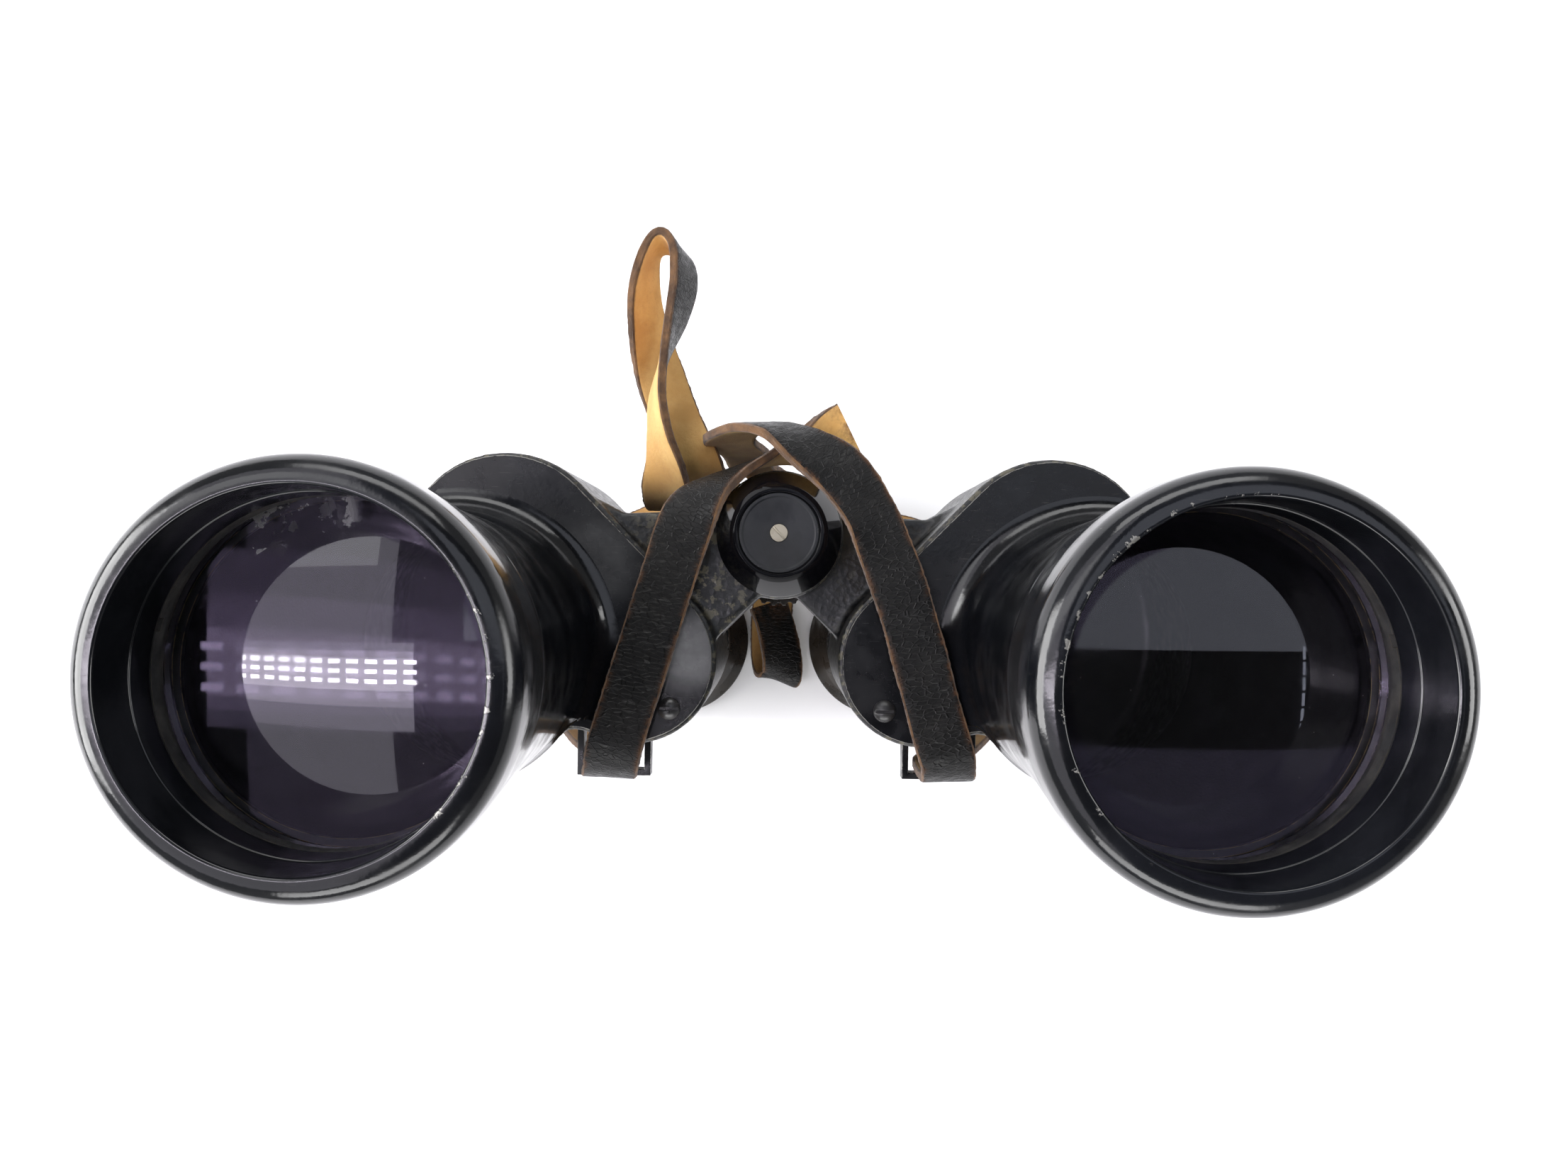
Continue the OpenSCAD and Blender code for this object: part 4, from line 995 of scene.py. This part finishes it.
def cast(node, side):
    """Sand-cast housing: soft edges, wavy skin, wrinkled enamel thickest on the arm beside the knuckle."""
    shape = bpy.data.meshes.new(node + "_rough")
    mesh = cad_mesh(node)
    mesh.to_mesh(shape)
    mesh.free()
    holder = bpy.data.objects.new(node + "_rough", shape)
    bpy.context.scene.collection.objects.link(holder)
    remesh = holder.modifiers.new("remesh", "REMESH")
    remesh.mode = "VOXEL"
    remesh.voxel_size = 0.62 * MM
    even = bpy.data.meshes.new_from_object(holder.evaluated_get(bpy.context.evaluated_depsgraph_get()))
    bpy.data.objects.remove(holder)
    mesh = bmesh.new()
    mesh.from_mesh(even)
    for _ in range(2):
        bmesh.ops.smooth_vert(mesh, verts=mesh.verts, factor=0.5, use_axis_x=True, use_axis_y=True,
                              use_axis_z=True)
    mesh.to_mesh(even)
    mesh.free()
    count = len(even.vertices)
    verts, normals = np.empty(count * 3), np.empty(count * 3)
    even.vertices.foreach_get("co", verts)
    even.vertices.foreach_get("normal", normals)
    verts, normals = verts.reshape(-1, 3), normals.reshape(-1, 3)
    away = np.hypot(verts[:, 0] - HINGE[0], verts[:, 1] - HINGE[1])
    top = high(f"{'left' if side < 0 else 'right'}_prism_housing")
    thick = np.interp(away, [12 * MM, 30 * MM], [1.0, 0.3])
    thick = thick * np.interp(verts[:, 2], [top - 14 * MM, top - 9 * MM], [0.4, 1])
    wrinkles = 0.09 * fuzz(verts, 700, 2.0) + 0.05 * fuzz(verts, 1500, 3.0)
    lift = wrinkles * thick + 0.1 * fuzz(verts, 90, 4.0) * 0.6
    even.vertices.foreach_set("co", (verts + normals * lift[:, None] * MM).ravel())
    arch = near(away, 19 * MM, 13 * MM) * near(verts[:, 2], top - 2 * MM, 2.5 * MM)
    arch = arch * (0.7 if side < 0 else 0.25)
    rim = near(verts[:, 2], top, 0.7 * MM) * 0.55
    finished(node + "_cast", even, (HOUSING,), body_of(node), (node,), "housing_enamel",
             {"wear": np.clip(np.maximum(arch, rim), 0, 1)}, sharp=60)


def lens(node, front, material, slot, edge=0.25):
    """Polished lens turned from the CAD box: bulge on both faces and a ground edge."""
    lo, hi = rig.box(node)
    radius = (hi.x - lo.x) / 2
    back = 0.35 * front
    r = np.linspace(radius, 0, 80)
    bulge = 1 - (r / radius) ** 2
    top = hi.z - front * (1 - bulge)
    bottom = lo.z + back * (1 - bulge)
    profile = np.stack([np.concatenate([r[::-1], r]), np.concatenate([bottom[::-1], top])], axis=1)
    rim = [[radius, bottom[0] + edge * MM], [radius, top[0] - edge * MM]]
    profile = np.vstack([profile[:80], rim, profile[80:]])
    middle = (lo + hi) / 2
    verts, faces = lathe(profile, (middle.x, middle.y), 192)
    out = np.hypot(verts[:, 0] - middle.x, verts[:, 1] - middle.y)
    # Painted reflection: the core mark fills the front face inside 0.8 of the radius and ends in a sharp circle
    marks = {"core": np.clip((0.8 * radius - out) / (0.015 * radius), 0, 1) * (verts[:, 2] > middle.z)}
    made = piece(node + "_polished", verts, faces, (material,), body_of(node), (node,), slot, marks, sharp=35)
    mesh = bmesh.new()
    mesh.from_mesh(made.data)
    bmesh.ops.remove_doubles(mesh, verts=mesh.verts, dist=0.002 * MM)
    bmesh.ops.dissolve_degenerate(mesh, edges=mesh.edges, dist=0.001 * MM)
    mesh.to_mesh(made.data)
    mesh.free()


def eyecup(name, side):
    """Bakelite cup: rolled lip, dished face with a small step round the eye lens, waisted back."""
    node = f"{name}_eyecup"
    lo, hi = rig.box(node)
    r = (hi.x - lo.x) / 2
    hole = (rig.box(f"{name}_ocular_tube")[1].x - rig.box(f"{name}_ocular_tube")[0].x) / 2 + 0.02 * MM
    seat = low(f"{name}_ocular_tube") - 0.1 * MM
    profile = rounded([
        (hole, hi.z, 0), (hole, seat, 0), (hole - 1.9 * MM, seat, 0),
        (hole - 2 * MM, seat - 0.5 * MM, 0.15 * MM),
        (r - 5 * MM, lo.z + 1.4 * MM, 2 * MM), (r - 3.2 * MM, lo.z, 0.6 * MM), (r, lo.z, 1.5 * MM),
        (r, lo.z + 2.6 * MM, 0.7 * MM), (r - 2.5 * MM, lo.z + 4.6 * MM, 2.5 * MM),
        (r - 5.5 * MM, hi.z, 0.4 * MM)], 8)
    axis = side_axis(EYE, side)

    def wear(p):
        radius = np.hypot(p[:, 0] - axis[0], p[:, 1] - axis[1])
        return near(radius, r, 1.6 * MM) * near(p[:, 2], lo.z + 1 * MM, 2 * MM) * 0.8

    turned(f"{name}_eyecup_cup", profile, axis, BAKELITE, (node,), "bakelite", wear)


def hinge_cap():
    """Black cone with a rolled shoulder, two fine bright rings and a matt disc sunk in its top."""
    lo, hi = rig.box("hinge_cap")
    r = (hi.x - lo.x) / 2
    disc_r = (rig.box("hinge_cap_disc")[1].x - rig.box("hinge_cap_disc")[0].x) / 2
    floor_z = low("hinge_cap_disc") - 0.02 * MM
    bore = 1.2 * MM
    cone = rounded([
        (bore, lo.z + 2 * MM, 0), (bore, floor_z, 0), (disc_r + 0.2 * MM, floor_z, 0),
        (disc_r + 0.2 * MM, hi.z - 0.1 * MM, 0.15 * MM), (disc_r + 0.5 * MM, hi.z, 0.2 * MM),
        (disc_r + 0.9 * MM, hi.z, 0.2 * MM), (disc_r + 1.8 * MM, hi.z - 1 * MM, 0.9 * MM),
        (r, lo.z + 1.2 * MM, 1.2 * MM), (r, lo.z, 0.2 * MM), (bore, lo.z, 0)], 8)

    def cone_wear(p):
        radius = np.hypot(p[:, 0] - HINGE[0], p[:, 1] - HINGE[1])
        return near(radius, disc_r + 0.6 * MM, 0.35 * MM) * near(p[:, 2], hi.z, 0.3 * MM) * 1.2

    turned("hinge_cap_cone", cone, HINGE, CAP, ("hinge_cap",), "gloss_enamel", cone_wear)
    top = high("hinge_cap_disc")
    face = rounded([
        (bore, floor_z, 0), (disc_r, floor_z, 0), (disc_r, top, 0.2 * MM), (disc_r - 0.6 * MM, top, 0.1 * MM),
        (disc_r - 0.9 * MM, top - 0.12 * MM, 0.1 * MM), (1.75 * MM, top - 0.12 * MM, 0.1 * MM),
        (1.75 * MM, top - 0.4 * MM, 0), (bore, top - 0.4 * MM, 0)], 10)

    def disc_wear(p):
        radius = np.hypot(p[:, 0] - HINGE[0], p[:, 1] - HINGE[1])
        return near(radius, disc_r - 0.25 * MM, 0.35 * MM) * near(p[:, 2], top, 0.25 * MM) * 1.3

    turned("hinge_cap_face", face, HINGE, DISC, ("hinge_cap_disc",), "bakelite", disc_wear)


KEPT = {
    "front_cover": (0.4, COVER, "cover_enamel", 3), "rear_cover": (0.35, COVER, "cover_enamel", 2),
    "cover_screws": (0.13, SCREW, "screw_steel", 2), "front_prism": (0.15, CLEAR_GLASS, "prism_glass", 2),
    "rear_prism": (0.15, CLEAR_GLASS, "prism_glass", 2), "prism_clips": (0.12, SPRING, "spring_steel", 2),
    "lens_cell": (0.12, BLACK_BRASS, "blackened_brass", 2),
    "retaining_ring": (0.18, DUSTY_RING, "blackened_brass", 2), "strap_lug": (0.55, ARM, "arm_enamel", 3),
    "eyepiece_sleeve": (0.3, BLACK_BRASS, "blackened_brass", 2),
    "carrier_tube": (0.2, BRASS, "bright_brass", 2), "ocular_tube": (0.2, BRASS, "bright_brass", 2),
    "field_stop": (0.1, DULL, "dull_black", 2), "bridge_arm": (0.6, ARM, "arm_enamel", 3),
}
for name, side in SIDES.items():
    for suffix, (width, material, slot, segments) in KEPT.items():
        machined(f"{name}_{suffix}", width, material, slot, segments)
    cast(f"{name}_prism_housing", side)
    lens(f"{name}_objective_lens", 2.6 * MM, FRONT_GLASS, "coated_glass")
    lens(f"{name}_eye_lens", 0.9 * MM, CLEAR_GLASS, "clear_glass")
    lens(f"{name}_field_lens", 1.2 * MM, CLEAR_GLASS, "clear_glass")
    eyecup(name, side)
hinge_cap()
machined("left_collar", 0.25, BAKELITE, "bakelite")
machined("diopter_ring", 0.15, BAKELITE, "bakelite")
machined("focus_rod", 0.4, BRASS, "bright_brass")
machined("rod_end_screw", 0.12, NICKEL, "bright_brass")
machined("focus_wheel", 0.18, BAKELITE, "bakelite")
machined("wheel_washer", 0.1, STEEL, "spring_steel")
machined("hinge_axle", 0.2, STEEL, "axle_steel")
machined("hinge_nut", 0.3, BLACK_BRASS, "blackened_brass")
machined("hinge_cap_screw", 0.07, NICKEL, "bright_brass", corner=40)


# ------------------------------------------------------------------ surroundings
def sheet_of(name, quads, paint, **sockets):
    """Flat rectangles (x0, y0, x1, y1, z) as one piece of the studio."""
    verts, faces = [], []
    for x0, y0, x1, y1, z in quads:
        faces.append(tuple(range(len(verts), len(verts) + 4)))
        verts += [(x0, y0, z), (x1, y0, z), (x1, y1, z), (x0, y1, z)]
    mesh = bpy.data.meshes.new(name)
    mesh.from_pydata(verts, [], faces)
    mesh.materials.append(paint.done(**sockets))
    made = bpy.data.objects.new(name, mesh)
    bpy.context.scene.collection.objects.link(made)
    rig.stage(made)


def panel(name, place, target, width, depth, power):
    light = bpy.data.lights.new(name, "AREA")
    light.shape = "RECTANGLE"
    light.size, light.size_y = width, depth
    light.energy = power
    holder = bpy.data.objects.new(name, light)
    holder.location = place
    holder.rotation_euler = (Vector(target) - Vector(place)).to_track_quat("-Z", "Y").to_euler()
    bpy.context.scene.collection.objects.link(holder)


sheet_of("floor", [(-3, -3, 3, 3, 0)], Paint("floor_paint", Roughness=0.6),
         Base_Color=(0.92, 0.92, 0.92, 1.0))
CARD_Z = 1.3
LAMP_ROWS = (-0.125, -0.09, -0.055)
# Cards overhead that the glass reflects: rectangles, strength and colour
CARDS = {
    "dark_card": ([(-0.28, -1.4, 1.9, 1.5, CARD_Z)], 0.02, (1.0, 1.0, 1.0)),
    "grey_card": ([(-1.9, -1.4, -0.28, 1.5, CARD_Z)], 1.6, (0.94, 0.92, 1.0)),
    "slate_card": ([(-0.03, 0.03, 1.1, 0.8, CARD_Z - 0.01)], 1.3, (0.84, 0.88, 1.0)),
    "pale_card": ([(-1.5, 0.3, -0.35, 0.8, CARD_Z - 0.01)], 3.2, (0.97, 0.97, 1.0)),
    "lit_band": ([(-1.6, -0.3, -0.2, 0.02, CARD_Z - 0.01)], 2.7, (0.92, 0.88, 1.0)),
    "lit_core": ([(-1.6, -0.21, -0.2, -0.01, CARD_Z - 0.015)], 4.6, (0.93, 0.87, 1.0)),
    "lit_heart": ([(-1.1, -0.15, -0.2, -0.035, CARD_Z - 0.018)], 8.5, (0.95, 0.89, 1.0)),
    "lamps": ([(x - 0.022, y, x + 0.022, y + 0.014, CARD_Z - 0.02)
               for x in np.arange(-1.4, -0.2, 0.07) for y in LAMP_ROWS], 44.0, (0.95, 0.9, 1.0)),
    "streak": ([(0.86, y, 0.875, y + 0.05, CARD_Z - 0.02) for y in np.arange(-0.3, 0.05, 0.06)], 4.0,
               (0.8, 0.85, 1.0)),
}
for card, (quads, strength, colour) in CARDS.items():
    sheet_of(card, quads, Paint(card + "_paint", Emission_Strength=strength, Roughness=1.0),
             Base_Color=(0.01, 0.01, 0.01, 1.0), Emission_Color=(*colour, 1.0))

world = bpy.data.worlds.new("studio")
world.use_nodes = True
world.node_tree.nodes["Background"].inputs["Color"].default_value = (1, 1, 1, 1)
world.node_tree.nodes["Background"].inputs["Strength"].default_value = 0.35
bpy.context.scene.world = world
panel("left", (-1.7, 0.1, 0.95), (0, 0, 0.1), 1.6, 1.2, 72)
panel("right", (1.8, 0.1, 0.95), (0, 0, 0.1), 1.0, 0.7, 16)
panel("back", (0, 1.7, 1.0), (0, 0, 0.1), 1.6, 0.6, 14)
panel("front", (0, -1.8, 0.9), (0, 0, 0.1), 1.8, 0.7, 26)
bpy.context.scene.view_settings.view_transform = "Standard"

visual_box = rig.bounds()
with open("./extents.json", "w") as out:
    json.dump({"cad": [list(v) for v in cad_box], "visual": [list(v) for v in visual_box]}, out)
